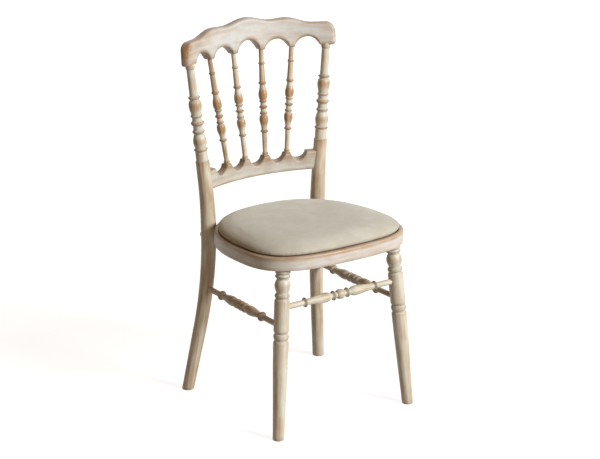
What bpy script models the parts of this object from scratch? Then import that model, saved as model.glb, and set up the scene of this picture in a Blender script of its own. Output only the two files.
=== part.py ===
"""Napoleon dining chair: limewashed turned beech, a bent seat ring and a drop-in seat pad.

Metres, +Z up, the chair's front towards -Y, the origin on the floor under its middle.
Left is -X. Every mating piece is worked out from its partner and the clearance FIT.
"""
import math

import bmesh
import bpy
from mathutils import Vector

# Clearance between two pieces that mate
FIT = 0.0003

# Seat ring: a bent bell-shaped ring with a rebate for the pad. Its heights hold at the seat's
# front edge, and the seat drops towards the back by the slope.
SEAT_SLOPE = 0.025
RING_BOTTOM = 0.4182
RING_HEIGHT = 0.034
RING_WIDTH = 0.038
RING_LIP = 0.0115
RING_REBATE = 0.011
RING_TOP_ROUND = 0.006
RING_BOTTOM_ROUND = 0.003
SEAT_HALF_WIDTH = 0.2181
SEAT_FRONT = -0.2315
SEAT_WIDEST = -0.077
SEAT_BACK = 0.181
SEAT_FRONT_SQUARENESS = 2.99
SEAT_BACK_SQUARENESS = 2.36

# Front legs: where they meet the ring, and how far they travel out for each metre down
FRONT_LEG_TURN = math.radians(-43.5)
FRONT_LEG_INSET = 0.0232
FRONT_SPLAY = 0.0804
FRONT_RAKE = 0.0654
FRONT_FOOT_DIAMETER = 0.0274
FRONT_TENON_DIAMETER = 0.018
FRONT_TENON_LENGTH = 0.017

# Rear legs: straight feet and posts with one long bend between them
REAR_LEG_TURN = math.radians(49.3)
REAR_SEAT_DIAMETER = 0.0385
SADDLE_DEPTH = 0.0014
REAR_FOOT_SPLAY = -0.138
REAR_FOOT_RAKE = -0.150
POST_SPLAY = 0.100
POST_RAKE = 0.047
REAR_BEND_LOW = 0.17
REAR_BEND_HIGH = 0.56
REAR_FOOT_DIAMETER = 0.030
REAR_SHIN_HEIGHT = 0.20
REAR_SHIN_DIAMETER = 0.034
POST_SHOULDER = 0.6063
POST_SHOULDER_DIAMETER = 0.0335
POST_TENON_DIAMETER = 0.013
POST_TENON_LENGTH = 0.022
FOOT_CHAMFER = 0.0012

# Crest rail
CREST_BOTTOM = 0.8455
CREST_BOW = 0.056
CREST_NOSE_DROP = 0.0025
CREST_THICKNESS = 0.025
CREST_SETBACK = 0.0015
CREST_OVERHANG = 0.0247
CREST_ARCH_RISE = 0.0235
CREST_MIDDLE_RISE = 0.029
CREST_NOSE_FLAT = 0.014
CREST_BLOCK_FLAT = 0.033
CREST_TOP_ROUND = 0.007
CREST_END_ROUND = 0.028
CREST_END_DROP = 0.034
CREST_PITCH = 0.082

# Lower back rail
RAIL_BOTTOM = 0.532
RAIL_HEIGHT = 0.048
RAIL_SCALLOP = 0.0175
RAIL_BOW = 0.036
RAIL_THICKNESS = 0.022
RAIL_PEAK_FLAT = 0.017
RAIL_BLOCK_FLAT = 0.036
RAIL_TOP_ROUND = 0.003
RAIL_PITCH = 0.0603
RAIL_TENON_THICKNESS = 0.009
RAIL_TENON_HEIGHT = 0.026
RAIL_TENON_LENGTH = 0.015
RAIL_EDGE = 0.0015

# Spindles between the two rails
SPINDLES = 4
SPINDLE_TENON_DIAMETER = 0.008
SPINDLE_TENON_LENGTH = 0.013

# Stretchers
FRONT_STRETCHER_HEIGHT = 0.3225
SIDE_STRETCHER_HEIGHT = 0.277
SIDE_STRETCHER_SHIFT = 0.0038
STRETCHER_NECK_DIAMETER = 0.0138
STRETCHER_TENON = 0.014

# Bolts that hold the rear legs to the ring
BOLT_RISE = 0.0075
BOLT_DIAMETER = 0.005
BOLT_HEAD_DIAMETER = 0.012
BOLT_HEAD_HEIGHT = 0.0035
BOLT_SPOT_DEPTH = 0.0012
INSERT_DIAMETER = 0.008
INSERT_LENGTH = 0.014
INSERT_SETBACK = 0.001

# Drop-in pad
PAD_GAP = 0.004
PAD_BULGE = 0.0062
PAD_CROWN = 0.0305
PAD_CROWN_PLACE = -0.07
PAD_EDGE_HEIGHT = 0.004
PAD_FLATNESS = 4.4
PAD_RING_SPREAD = 0.8
COVER_THICKNESS = 0.0012
COVER_HEM = 0.014
BOARD_THICKNESS = 0.006

# Facets
LEG_SIDES = 14
SPINDLE_SIDES = 10
STRETCHER_SIDES = 10
PIN_SIDES = 12
RING_SEGMENTS = 56
PAD_SEGMENTS = 40
CROWN_RINGS = 7
BEAD_STEPS = 4
SWEEP_STEPS = 3
ARCH_STEPS = 8
OUTLINE_SAMPLES = 2880
SHAFT_RINGS = 15
SLEEVE_RINGS = 5
DOME_STEPS = 4
BLOCK_STATIONS = 7
SHARP_ANGLE = math.radians(35)
TANGENT_STEP = 0.001
ROUND_LIMIT = 0.9
STEEP = 0.8

# Turned outlines. A move is a kind, a distance along the piece, the diameter there and,
# for a bead, its widest diameter. A sweep is an S, a rise levels out at its end, a fall levels
# out at its start and a shoulder is a quarter round. The front leg's run down from the ring.
FRONT_LEG_TURNING = (
    ("to", 0.0000, 0.0364),
    ("to", 0.0096, 0.0364),
    ("to", 0.0121, 0.0304),
    ("bead", 0.0230, 0.0292, 0.0364),
    ("to", 0.0250, 0.0284),
    ("bead", 0.0566, 0.0290, 0.0379),
    ("to", 0.0601, 0.0300),
    ("bead", 0.0698, 0.0304, 0.0362),
    ("to", 0.0730, 0.0314),
    ("sweep", 0.0800, 0.0371),
    ("to", 0.1504, 0.0371),
    ("sweep", 0.1571, 0.0306),
    ("bead", 0.1716, 0.0314, 0.0374),
    ("to", 0.1746, 0.0316),
    ("sweep", 0.1815, 0.0374),
    ("to", 0.2300, 0.0362),
)
# Heights of the post run up from its shoulder
POST_TURNING = (
    ("to", 0.0010, 0.0298),
    ("to", 0.0255, 0.0292),
    ("bead", 0.0335, 0.0272, 0.0346),
    ("to", 0.0355, 0.0274),
    ("rise", 0.0490, 0.0326),
    ("fall", 0.0690, 0.0232),
    ("bead", 0.0801, 0.0234, 0.0304),
    ("to", 0.0888, 0.0234),
    ("bead", 0.1034, 0.0236, 0.0326),
    ("to", 0.1096, 0.0236),
    ("bead", 0.1186, 0.0240, 0.0296),
    ("rise", 0.1400, 0.0316),
    ("shoulder", 0.1520, 0.0236),
    ("to", 0.1550, 0.0234),
    ("bead", 0.1641, 0.0212, 0.0296),
)
POST_NECK_DIAMETER = 0.0196
POST_COLLAR_DIAMETER = 0.0230
POST_COLLAR_HEIGHT = 0.0080
# Heights of the spindle run up from the lower rail
SPINDLE_TURNING = (
    ("to", 0.0000, 0.0130),
    ("bead", 0.0095, 0.0118, 0.0154),
    ("to", 0.0560, 0.0126),
    ("bead", 0.0648, 0.0138, 0.0198),
    ("sweep", 0.0905, 0.0222),
    ("fall", 0.1012, 0.0146),
    ("bead", 0.1108, 0.0143, 0.0194),
    ("to", 0.1168, 0.0143),
    ("bead", 0.1260, 0.0144, 0.0216),
    ("to", 0.1322, 0.0144),
    ("bead", 0.1402, 0.0153, 0.0196),
    ("rise", 0.1520, 0.0222),
    ("sweep", 0.1768, 0.0140),
    ("bead", 0.1862, 0.0150, 0.0198),
    ("to", 0.2270, 0.0130),
    ("bead", 0.2342, 0.0122, 0.0170),
)
SPINDLE_NECK_DIAMETER = 0.0120
# Distances of a stretcher run out from the middle of its turning
FRONT_STRETCHER_TURNING = (
    ("to", 0.0000, 0.0244),
    ("shoulder", 0.0100, 0.0140),
    ("to", 0.0145, 0.0138),
    ("bead", 0.0258, 0.0140, 0.0244),
    ("to", 0.0282, 0.0148),
    ("rise", 0.0430, 0.0240),
    ("sweep", 0.0985, 0.0152),
    ("bead", 0.1085, 0.0144, 0.0244),
)
SIDE_STRETCHER_TURNING = (
    ("to", 0.0000, 0.0246),
    ("shoulder", 0.0078, 0.0192),
    ("to", 0.0098, 0.0190),
    ("bead", 0.0248, 0.0192, 0.0246),
    ("to", 0.0266, 0.0194),
    ("rise", 0.0395, 0.0244),
    ("sweep", 0.0822, 0.0154),
    ("bead", 0.0960, 0.0140, 0.0244),
)
# Crest top edge: distance from the middle along the rail, height above CREST_BOTTOM
CREST_TOP = ((0.0, 0.0813), (0.070, 0.0693), (0.107, 0.0713), (0.178, 0.0564))

RING_TOP = RING_BOTTOM + RING_HEIGHT
RING_MIDDLE = RING_BOTTOM + RING_HEIGHT / 2
LEDGE = RING_TOP - RING_REBATE
RAIL_TOP = RAIL_BOTTOM + RAIL_HEIGHT
NOSE_BOTTOM = CREST_BOTTOM - CREST_NOSE_DROP


def clear_scene():
    for old in list(bpy.data.objects):
        bpy.data.objects.remove(old, do_unlink=True)


def material(name, colour, roughness, metallic=0.0):
    made = bpy.data.materials.new(name)
    made.use_nodes = True
    shader = made.node_tree.nodes["Principled BSDF"]
    shader.inputs["Base Color"].default_value = (*colour, 1.0)
    shader.inputs["Roughness"].default_value = roughness
    shader.inputs["Metallic"].default_value = metallic
    return made


def empty(name, place, parent=None):
    made = bpy.data.objects.new(name, None)
    made.location = place
    made.parent = parent
    bpy.context.collection.objects.link(made)
    return made


def skin(loops, ring=False, tip_first=None, tip_last=None):
    """Join loops of equal count, each counter-clockwise about the way they run, into a mesh."""
    bm = bmesh.new()
    rows = [[bm.verts.new(point) for point in loop] for loop in loops]
    pairs = list(zip(rows, rows[1:]))
    if ring:
        pairs.append((rows[-1], rows[0]))
    for low, high in pairs:
        for i in range(len(low)):
            j = (i + 1) % len(low)
            bm.faces.new((low[i], low[j], high[j], high[i]))
    if not ring:
        close_end(bm, rows[0], tip_first, True)
        close_end(bm, rows[-1], tip_last, False)
    return bm


def close_end(bm, row, tip, reverse):
    """Close an end with one flat face, or with a fan to a tip."""
    row = list(reversed(row)) if reverse else row
    if tip is None:
        bm.faces.new(row)
        return
    point = bm.verts.new(tip)
    for i in range(len(row)):
        bm.faces.new((row[i], row[(i + 1) % len(row)], point))


def add_piece(name, bm, finish, parent, origin=(0, 0, 0)):
    """Make a named object from a mesh in world space, with its own origin."""
    origin = Vector(origin)
    bmesh.ops.translate(bm, verts=bm.verts, vec=-origin)
    mesh = bpy.data.meshes.new(name)
    bm.to_mesh(mesh)
    bm.free()
    mesh.shade_smooth()
    mesh.set_sharp_from_angle(angle=SHARP_ANGLE)
    piece = bpy.data.objects.new(name, mesh)
    bpy.context.collection.objects.link(piece)
    if finish:
        mesh.materials.append(finish)
    piece.parent = parent
    offset = parent.location if parent else Vector()
    piece.location = origin - offset
    return piece


def boolean(piece, bm, operation="DIFFERENCE"):
    """Cut or join a helper mesh, given in world space."""
    helper = add_piece(piece.name + "_cutter", bm, None, None)
    helper.hide_render = True
    helper.display_type = "WIRE"
    cut = piece.modifiers.new(operation.lower(), "BOOLEAN")
    cut.operation = operation
    cut.object = helper
    cut.solver = "EXACT"


def turned_points(moves):
    """Points (distance, radius) of a turned outline."""
    points = []
    for kind, reach, diameter, *widest in moves:
        radius = diameter / 2
        if kind == "to":
            points.append((reach, radius))
            continue
        start, first = points[-1]
        length = reach - start
        steps = BEAD_STEPS if kind in ("bead", "shoulder") else SWEEP_STEPS
        for i in range(1, steps + 1):
            t = i / steps
            bend = math.pi / 2 * t
            blend = (1 - math.cos(math.pi * t)) / 2
            level = first + (radius - first) * blend
            if kind == "bead":
                swell = max(widest[0] / 2 - level, 0) * math.sin(math.pi * t)
                points.append((start + length * blend, level + swell))
            elif kind == "sweep":
                points.append((start + length * t, level))
            elif kind == "rise":
                points.append((start + length * t, first + (radius - first) * math.sin(bend)))
            elif kind == "fall":
                points.append((start + length * t, radius + (first - radius) * math.cos(bend)))
            else:
                points.append((start + length * math.sin(bend), radius + (first - radius) * math.cos(bend)))
    return points


def straight(start, end):
    """A straight path: a function from distance to centre and direction."""
    start = Vector(start)
    way = (Vector(end) - start).normalized()
    return lambda reach: (start + way * reach, way)


def circle(centre, way, radius, sides):
    guide = Vector((0, 1, 0)) if abs(way.x) > STEEP else Vector((1, 0, 0))
    across = (guide - way * guide.dot(way)).normalized()
    up = way.cross(across)
    turns = [2 * math.pi * i / sides for i in range(sides)]
    return [centre + across * (radius * math.cos(a)) + up * (radius * math.sin(a)) for a in turns]


def lathe(path, points, sides):
    """Turn an outline about a path. More values in a point cut its ring to a plane: the plane's
    height at the origin, and its drop for each metre towards the back."""
    loops = []
    for reach, radius, *plane in points:
        centre, way = path(reach)
        loop = circle(centre, way, radius, sides)
        if plane:
            level, drop = plane
            loop = [p + way * ((level - drop * p.y - p.z) / (way.z + drop * way.y)) for p in loop]
        loops.append(loop)
    return skin(loops)


def socket(start, end, diameter, sides=PIN_SIDES):
    """A round cutter that clears a pin of the given diameter by FIT."""
    radius = (diameter / 2 + FIT) / math.cos(math.pi / sides)
    length = (Vector(end) - Vector(start)).length
    return lathe(straight(start, end), [(0, radius), (length, radius)], sides)


def seat_point(turn):
    """A point of the ring's outer edge, and the outward normal there, by its turn from +X."""
    across = math.cos(turn)
    along = math.sin(turn)
    behind = along > 0
    depth = SEAT_BACK - SEAT_WIDEST if behind else SEAT_WIDEST - SEAT_FRONT
    square = SEAT_BACK_SQUARENESS if behind else SEAT_FRONT_SQUARENESS
    u = math.copysign(abs(across) ** (2 / square), across)
    v = math.copysign(abs(along) ** (2 / square), along)
    lean_x = math.copysign(abs(u) ** (square - 1), u) / SEAT_HALF_WIDTH
    lean_y = math.copysign(abs(v) ** (square - 1), v) / depth
    point = Vector((SEAT_HALF_WIDTH * u, SEAT_WIDEST + depth * v, 0))
    return point, Vector((lean_x, lean_y, 0)).normalized()


def on_seat(point, height):
    """A point moved to a height that holds at the front edge of the sloping seat."""
    return Vector((point.x, point.y, height - SEAT_SLOPE * (point.y - SEAT_FRONT)))


def seat_outline(inset, height, count):
    """Evenly spaced points inside the ring's outer edge, counter-clockwise, on the sloping seat."""
    dense = []
    for i in range(OUTLINE_SAMPLES + 1):
        turn = 2 * math.pi * i / OUTLINE_SAMPLES - math.pi / 2
        point, normal = seat_point(turn)
        dense.append(point - normal * inset)
    runs = [0.0]
    for a, b in zip(dense, dense[1:]):
        runs.append(runs[-1] + (b - a).length)
    loop = []
    place = 0
    for i in range(count):
        wanted = runs[-1] * i / count
        while runs[place + 1] < wanted:
            place += 1
        share = (wanted - runs[place]) / (runs[place + 1] - runs[place])
        point = dense[place].lerp(dense[place + 1], share)
        loop.append(on_seat(point, height))
    return loop


def front_leg_path(side):
    """From the ring's underside down to the floor."""
    point, normal = seat_point(FRONT_LEG_TURN)
    top = on_seat(point - normal * FRONT_LEG_INSET, RING_BOTTOM)
    top.x *= side
    foot = top + Vector((side * FRONT_SPLAY, -FRONT_RAKE, -1)) * top.z
    return top, foot


def front_leg_centre(side, height):
    top, foot = front_leg_path(side)
    return top.lerp(foot, (top.z - height) / top.z)


def bent_travel(height, low, high):
    """Sideways travel up to a height: straight at one slope, bent, straight at another."""
    bend = min(max(height - REAR_BEND_LOW, 0), REAR_BEND_HIGH - REAR_BEND_LOW)
    past = max(height - REAR_BEND_HIGH, 0)
    below = min(height, REAR_BEND_LOW) + bend
    return low * below + (high - low) * bend ** 2 / (2 * (REAR_BEND_HIGH - REAR_BEND_LOW)) + high * past


def rear_leg_centre(side, height):
    """The rear leg's centre line, anchored in its saddle at the ring's middle height."""
    point, normal = seat_point(REAR_LEG_TURN)
    seat = on_seat(point + normal * (REAR_SEAT_DIAMETER / 2 - SADDLE_DEPTH), RING_MIDDLE)
    x = seat.x + bent_travel(height, REAR_FOOT_SPLAY, POST_SPLAY)
    y = seat.y + bent_travel(height, REAR_FOOT_RAKE, POST_RAKE)
    x -= bent_travel(seat.z, REAR_FOOT_SPLAY, POST_SPLAY)
    y -= bent_travel(seat.z, REAR_FOOT_RAKE, POST_RAKE)
    return Vector((side * x, y, height))


def rear_leg_path(side):
    def place(height):
        below = rear_leg_centre(side, height - TANGENT_STEP)
        above = rear_leg_centre(side, height + TANGENT_STEP)
        return rear_leg_centre(side, height), (above - below).normalized()

    return place


def rear_leg_radius(height):
    """Radius of the plain leg, swelling from the foot to the seat and easing to the shoulder."""
    keys = ((0.0, REAR_FOOT_DIAMETER), (REAR_SHIN_HEIGHT, REAR_SHIN_DIAMETER),
            (RING_MIDDLE, REAR_SEAT_DIAMETER), (POST_SHOULDER, POST_SHOULDER_DIAMETER))
    for (low, small), (high, large) in zip(keys, keys[1:]):
        if height <= high:
            return (small + (large - small) * (height - low) / (high - low)) / 2
    return POST_SHOULDER_DIAMETER / 2


def rear_leg_sleeve(side, bottom, top):
    """A cutter round the rear leg, clear of it by FIT."""
    points = []
    for i in range(SLEEVE_RINGS):
        height = bottom + (top - bottom) * i / (SLEEVE_RINGS - 1)
        points.append((height, (rear_leg_radius(height) + FIT) / math.cos(math.pi / LEG_SIDES)))
    return lathe(rear_leg_path(side), points, LEG_SIDES)


def bowed_arc(end, bow):
    """Centre and radius of the plan arc through two mirrored ends, bowed back in the middle."""
    radius = (end.x ** 2 + bow ** 2) / (2 * bow)
    return end.y + bow - radius, radius


def crest_arc():
    return bowed_arc(rear_leg_centre(1, CREST_BOTTOM), CREST_BOW)


def rail_arc():
    return bowed_arc(rear_leg_centre(1, RAIL_BOTTOM + RAIL_HEIGHT / 2), RAIL_BOW)


def arc_place(arc, run, outward, height):
    centre, radius = arc
    turn = run / radius
    reach = radius + outward
    return Vector((reach * math.sin(turn), centre + reach * math.cos(turn), height))


def arc_run(arc, x):
    return arc[1] * math.asin(x / arc[1])


def spindle_ends(index):
    """Where a spindle meets the two rails."""
    step = index - (SPINDLES - 1) / 2
    foot = arc_place(rail_arc(), step * RAIL_PITCH, 0, RAIL_TOP)
    head = arc_place(crest_arc(), step * CREST_PITCH, 0, NOSE_BOTTOM)
    return foot, head


def scallops(pitch, flat, block_run, block_flat):
    """Gaps between the flats at each spindle and at the end blocks, as (start, end) runs."""
    marks = [(i - (SPINDLES - 1) / 2) * pitch for i in range(SPINDLES)]
    edges = [-block_run + block_flat / 2]
    for mark in marks:
        edges += [mark - flat / 2, mark + flat / 2]
    edges.append(block_run - block_flat / 2)
    return list(zip(edges[0::2], edges[1::2]))


def scallop_points(gaps, rises):
    """Points (run, rise) along an edge of half-ellipse scallops."""
    points = []
    for (start, end), rise in zip(gaps, rises):
        for i in range(ARCH_STEPS + 1):
            t = math.pi * i / ARCH_STEPS
            run = (start + end) / 2 - (end - start) / 2 * math.cos(t)
            points.append((run, rise * math.sin(t)))
    return points


def rail_section(arc, run, half, low, high, rounds, setback=0.0, rake=0.0):
    """One cross-section of a bowed rail: back edge up, front edge down."""
    low_round, high_round = (min(r, half * ROUND_LIMIT) for r in rounds)
    corner = high_round * (1 - math.sqrt(0.5))
    back = [
        (half - low_round, low), (half, low + low_round), (half, high - high_round),
        (half - corner, high - corner), (half - high_round, high),
    ]
    front = [(-out, height) for out, height in reversed(back)]
    section = []
    for out, height in back + front:
        section.append(arc_place(arc, run, out + setback + rake * (height - CREST_BOTTOM), height))
    return section


def crest_top(run):
    """Height of the crest's top edge over its nose bottoms: waves with rounded ends."""
    run = abs(run)
    height = CREST_TOP[-1][1]
    for (start, first), (end, last) in zip(CREST_TOP, CREST_TOP[1:]):
        if run <= end:
            height = first + (last - first) * (1 - math.cos(math.pi * (run - start) / (end - start))) / 2
            break
    end = crest_end()
    past = max(run - (end - CREST_END_ROUND), 0) / CREST_END_ROUND
    return height - CREST_END_DROP * (1 - math.sqrt(max(1 - past ** 2, 0)))


def crest_end():
    return arc_run(crest_arc(), rear_leg_centre(1, CREST_BOTTOM).x) + CREST_OVERHANG


def end_stations(start, end, steps):
    """Runs that close up towards a rounded end, stopping just short of it."""
    return [start + (end - start) * math.sin(math.pi / 2 * i / steps) for i in range(1, steps + 1)]


def make_crest(finish, parent):
    arc = crest_arc()
    post_run = crest_end() - CREST_OVERHANG
    gaps = scallops(CREST_PITCH, CREST_NOSE_FLAT, post_run, CREST_BLOCK_FLAT)
    rises = [CREST_ARCH_RISE] * len(gaps)
    rises[len(gaps) // 2] = CREST_MIDDLE_RISE
    arch_start, arch_end = gaps[-1]
    half = CREST_THICKNESS / 2
    block = end_stations(post_run, crest_end() - RAIL_EDGE / 2, BLOCK_STATIONS)
    stations = [(-run, 0) for run in reversed(block)] + [(-post_run, 0)]
    stations += scallop_points(gaps, rises) + [(post_run, 0)] + [(run, 0) for run in block]
    loops = []
    for run, rise in stations:
        past = max(abs(run) - (crest_end() - half), 0) / half
        thin = half * math.sqrt(max(1 - past ** 2, 0))
        drop = min(max((arch_end - abs(run)) / (arch_end - arch_start), 0), 1)
        low = CREST_BOTTOM + rise - CREST_NOSE_DROP * drop
        high = CREST_BOTTOM + crest_top(run)
        rounds = (RAIL_EDGE, CREST_TOP_ROUND)
        loops.append(rail_section(arc, run, thin, low, high, rounds, CREST_SETBACK, POST_RAKE))
    crest = add_piece("crest_rail", skin(loops), finish, parent)
    for side in (-1, 1):
        base = rear_leg_centre(side, CREST_BOTTOM - POST_COLLAR_HEIGHT)
        top = rear_leg_centre(side, CREST_BOTTOM + POST_TENON_LENGTH + FIT)
        boolean(crest, socket(base, top, POST_TENON_DIAMETER))
    for index in range(SPINDLES):
        foot, head = spindle_ends(index)
        way = (head - foot).normalized()
        boolean(crest, socket(head - way * SPINDLE_TENON_LENGTH, head + way * (SPINDLE_TENON_LENGTH + FIT),
                              SPINDLE_TENON_DIAMETER))


def rail_tenon(side, slack):
    """The block that runs from the rail's end into the rear leg, grown by a slack."""
    arc = rail_arc()
    middle = RAIL_BOTTOM + (RAIL_HEIGHT - RAIL_SCALLOP) / 2
    leg = rear_leg_centre(side, middle)
    leg_run = arc_run(arc, leg.x)
    surface = abs(leg_run) - rear_leg_radius(middle)
    inner = surface - RAIL_TENON_LENGTH
    outer = surface + RAIL_TENON_LENGTH + slack
    half = RAIL_TENON_THICKNESS / 2 + slack
    tall = RAIL_TENON_HEIGHT / 2 + slack
    loops = []
    runs = (inner, outer) if side > 0 else (-outer, -inner)
    for run in runs:
        loops.append([arc_place(arc, run, half, middle - tall), arc_place(arc, run, half, middle + tall),
                      arc_place(arc, run, -half, middle + tall), arc_place(arc, run, -half, middle - tall)])
    return skin(loops)


def make_lower_rail(finish, parent):
    arc = rail_arc()
    leg_run = arc_run(arc, rear_leg_centre(1, RAIL_BOTTOM + RAIL_HEIGHT / 2).x)
    block_run = leg_run - RAIL_BLOCK_FLAT / 2
    gaps = scallops(RAIL_PITCH, RAIL_PEAK_FLAT, block_run, RAIL_BLOCK_FLAT)
    inner = scallop_points(gaps, [RAIL_SCALLOP] * len(gaps))[1:-1]
    ends = [(block_run - RAIL_BLOCK_FLAT / 2, 0), (leg_run, 0)]
    stations = [(-run, dip) for run, dip in reversed(ends)] + inner + ends
    loops = []
    for run, dip in stations:
        rounds = (RAIL_EDGE, RAIL_TOP_ROUND)
        loops.append(rail_section(arc, run, RAIL_THICKNESS / 2, RAIL_BOTTOM, RAIL_TOP - dip, rounds))
    rail = add_piece("lower_back_rail", skin(loops), finish, parent)
    reach = RAIL_HEIGHT / 2
    for side in (-1, 1):
        boolean(rail, rear_leg_sleeve(side, RAIL_BOTTOM - reach, RAIL_TOP + reach))
    for side in (-1, 1):
        boolean(rail, rail_tenon(side, 0), "UNION")
    for index in range(SPINDLES):
        foot, head = spindle_ends(index)
        way = (head - foot).normalized()
        boolean(rail, socket(foot - way * (SPINDLE_TENON_LENGTH + FIT), foot + way * SPINDLE_TENON_LENGTH,
                             SPINDLE_TENON_DIAMETER))


def make_spindle(index, finish, parent):
    foot, head = spindle_ends(index)
    length = (head - foot).length
    pin = SPINDLE_TENON_DIAMETER / 2
    low = foot.z + FIT
    high = head.z - FIT
    body = turned_points(SPINDLE_TURNING)
    points = [(-SPINDLE_TENON_LENGTH, pin), (0, pin, low, 0), (*body[0], low, 0)] + body[1:]
    points += [(length, SPINDLE_NECK_DIAMETER / 2, high, 0), (length, pin, high, 0)]
    points.append((length + SPINDLE_TENON_LENGTH, pin))
    mesh = lathe(straight(foot, head), points, SPINDLE_SIDES)
    add_piece("back_spindle_%d" % (index + 1), mesh, finish, parent, foot)


def make_rear_leg(side, name, finish, parent):
    foot = rear_leg_radius(0)
    points = [(0, foot - FOOT_CHAMFER, 0, 0), (FOOT_CHAMFER, foot, FOOT_CHAMFER, 0)]
    shaft = [POST_SHOULDER * i / SHAFT_RINGS for i in range(1, SHAFT_RINGS + 1)]
    points += [(height, rear_leg_radius(height)) for height in shaft]
    points += [(POST_SHOULDER + rise, radius) for rise, radius in turned_points(POST_TURNING)]
    top = CREST_BOTTOM - FIT
    collar = CREST_BOTTOM - POST_COLLAR_HEIGHT
    ease = (POST_COLLAR_DIAMETER - POST_NECK_DIAMETER) / 2
    pin = POST_TENON_DIAMETER / 2
    points += [
        (collar - ease, POST_NECK_DIAMETER / 2), (collar, POST_COLLAR_DIAMETER / 2),
        (top, POST_COLLAR_DIAMETER / 2, top, 0), (top, pin, top, 0), (CREST_BOTTOM + POST_TENON_LENGTH, pin),
    ]
    leg = add_piece(name, lathe(rear_leg_path(side), points, LEG_SIDES), finish, parent,
                    rear_leg_centre(side, 0))
    boolean(leg, rail_tenon(side, FIT))
    start, end = side_stretcher_ends(side)
    boolean(leg, socket(start, end + (end - start).normalized() * FIT, STRETCHER_NECK_DIAMETER))
    centre, way = bolt_axis(side)
    radius = REAR_SEAT_DIAMETER / 2
    reach = way * REAR_SEAT_DIAMETER
    boolean(leg, socket(centre - reach, centre + reach, BOLT_DIAMETER))
    seat = centre - way * (radius - BOLT_SPOT_DEPTH)
    boolean(leg, socket(seat - way * radius, seat, BOLT_HEAD_DIAMETER))


def make_front_leg(side, name, finish, parent):
    top, foot = front_leg_path(side)
    length = (foot - top).length
    body = turned_points(FRONT_LEG_TURNING)
    seat = (on_seat(Vector(), RING_BOTTOM - FIT).z, SEAT_SLOPE)
    pin = FRONT_TENON_DIAMETER / 2
    points = [(-FRONT_TENON_LENGTH, pin), (0, pin, *seat), (*body[0], *seat)] + body[1:]
    points += [
        (length - FOOT_CHAMFER, FRONT_FOOT_DIAMETER / 2, FOOT_CHAMFER, 0),
        (length, FRONT_FOOT_DIAMETER / 2 - FOOT_CHAMFER, 0, 0),
    ]
    leg = add_piece(name, lathe(straight(top, foot), points, LEG_SIDES), finish, parent, foot)
    ends = front_stretcher_ends()
    end = ends[0] if side < 0 else ends[1]
    inward = Vector((-side, 0, 0))
    boolean(leg, socket(end - inward * FIT, end + inward * FRONT_FOOT_DIAMETER, STRETCHER_NECK_DIAMETER))
    start, rear = side_stretcher_ends(side)
    way = (rear - start).normalized()
    boolean(leg, socket(start - way * FIT, start + way * FRONT_FOOT_DIAMETER, STRETCHER_NECK_DIAMETER))


def front_stretcher_ends():
    """Tenon tips of the front stretcher, past the front legs' near faces."""
    ends = []
    for side in (-1, 1):
        leg = front_leg_centre(side, FRONT_STRETCHER_HEIGHT)
        ends.append(leg - Vector((side, 0, 0)) * (front_leg_face() - STRETCHER_TENON))
    return ends


def side_stretcher_ends(side):
    """Tenon tips of a side stretcher, in the front leg and in the rear leg."""
    front = front_leg_centre(side, SIDE_STRETCHER_HEIGHT)
    rear = rear_leg_centre(side, SIDE_STRETCHER_HEIGHT)
    way = (rear - front).normalized()
    rear_face = rear_leg_radius(SIDE_STRETCHER_HEIGHT)
    return front + way * (front_leg_face() - STRETCHER_TENON), rear - way * (rear_face - STRETCHER_TENON)


def front_leg_face():
    """Radius of the front leg's plain drum, which takes both stretchers."""
    return max(diameter for kind, reach, diameter, *rest in FRONT_LEG_TURNING if kind == "to") / 2


def make_stretcher(name, ends, turning, shift, finish, parent):
    """A turning mirrored about its middle, which is shifted along the stretcher."""
    start, end = ends
    length = (end - start).length
    middle = length / 2 + shift
    side = turned_points(turning)
    neck = STRETCHER_NECK_DIAMETER / 2
    points = [(0, neck)] + [(middle - reach, radius) for reach, radius in reversed(side)]
    points += [(middle + reach, radius) for reach, radius in side[1:]] + [(length, neck)]
    mesh = lathe(straight(start, end), points, STRETCHER_SIDES)
    add_piece(name, mesh, finish, parent, start)


def make_ring(finish, parent):
    top = RING_TOP_ROUND
    ease = top * (1 - math.sqrt(0.5))
    low = RING_BOTTOM_ROUND
    section = [
        (low, RING_BOTTOM), (0, RING_BOTTOM + low), (0, RING_TOP - top), (ease, RING_TOP - ease),
        (top, RING_TOP), (RING_LIP - RAIL_EDGE, RING_TOP), (RING_LIP, RING_TOP - RAIL_EDGE),
        (RING_LIP, LEDGE), (RING_WIDTH, LEDGE), (RING_WIDTH, RING_BOTTOM),
    ]
    loops = [seat_outline(inset, height, RING_SEGMENTS) for inset, height in section]
    ring = add_piece("seat_ring", skin(loops, ring=True), finish, parent)
    for side in (-1, 1):
        boolean(ring, rear_leg_sleeve(side, RING_BOTTOM - RING_HEIGHT, RING_TOP + RING_HEIGHT))
        leg_top, foot = front_leg_path(side)
        way = (leg_top - foot).normalized()
        boolean(ring, socket(leg_top - way * RING_HEIGHT, leg_top + way * (FRONT_TENON_LENGTH + FIT),
                             FRONT_TENON_DIAMETER))
        centre, inward = bolt_axis(side)
        end = centre + inward * (REAR_SEAT_DIAMETER / 2 + INSERT_SETBACK + INSERT_LENGTH + FIT)
        boolean(ring, socket(centre, end, INSERT_DIAMETER))


def bolt_axis(side):
    """Middle of the rear leg at the bolt's height, and the way from there into the ring."""
    point, normal = seat_point(REAR_LEG_TURN)
    height = on_seat(point, RING_BOTTOM + BOLT_RISE).z
    return rear_leg_centre(side, height), Vector((-side * normal.x, -normal.y, 0))


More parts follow.
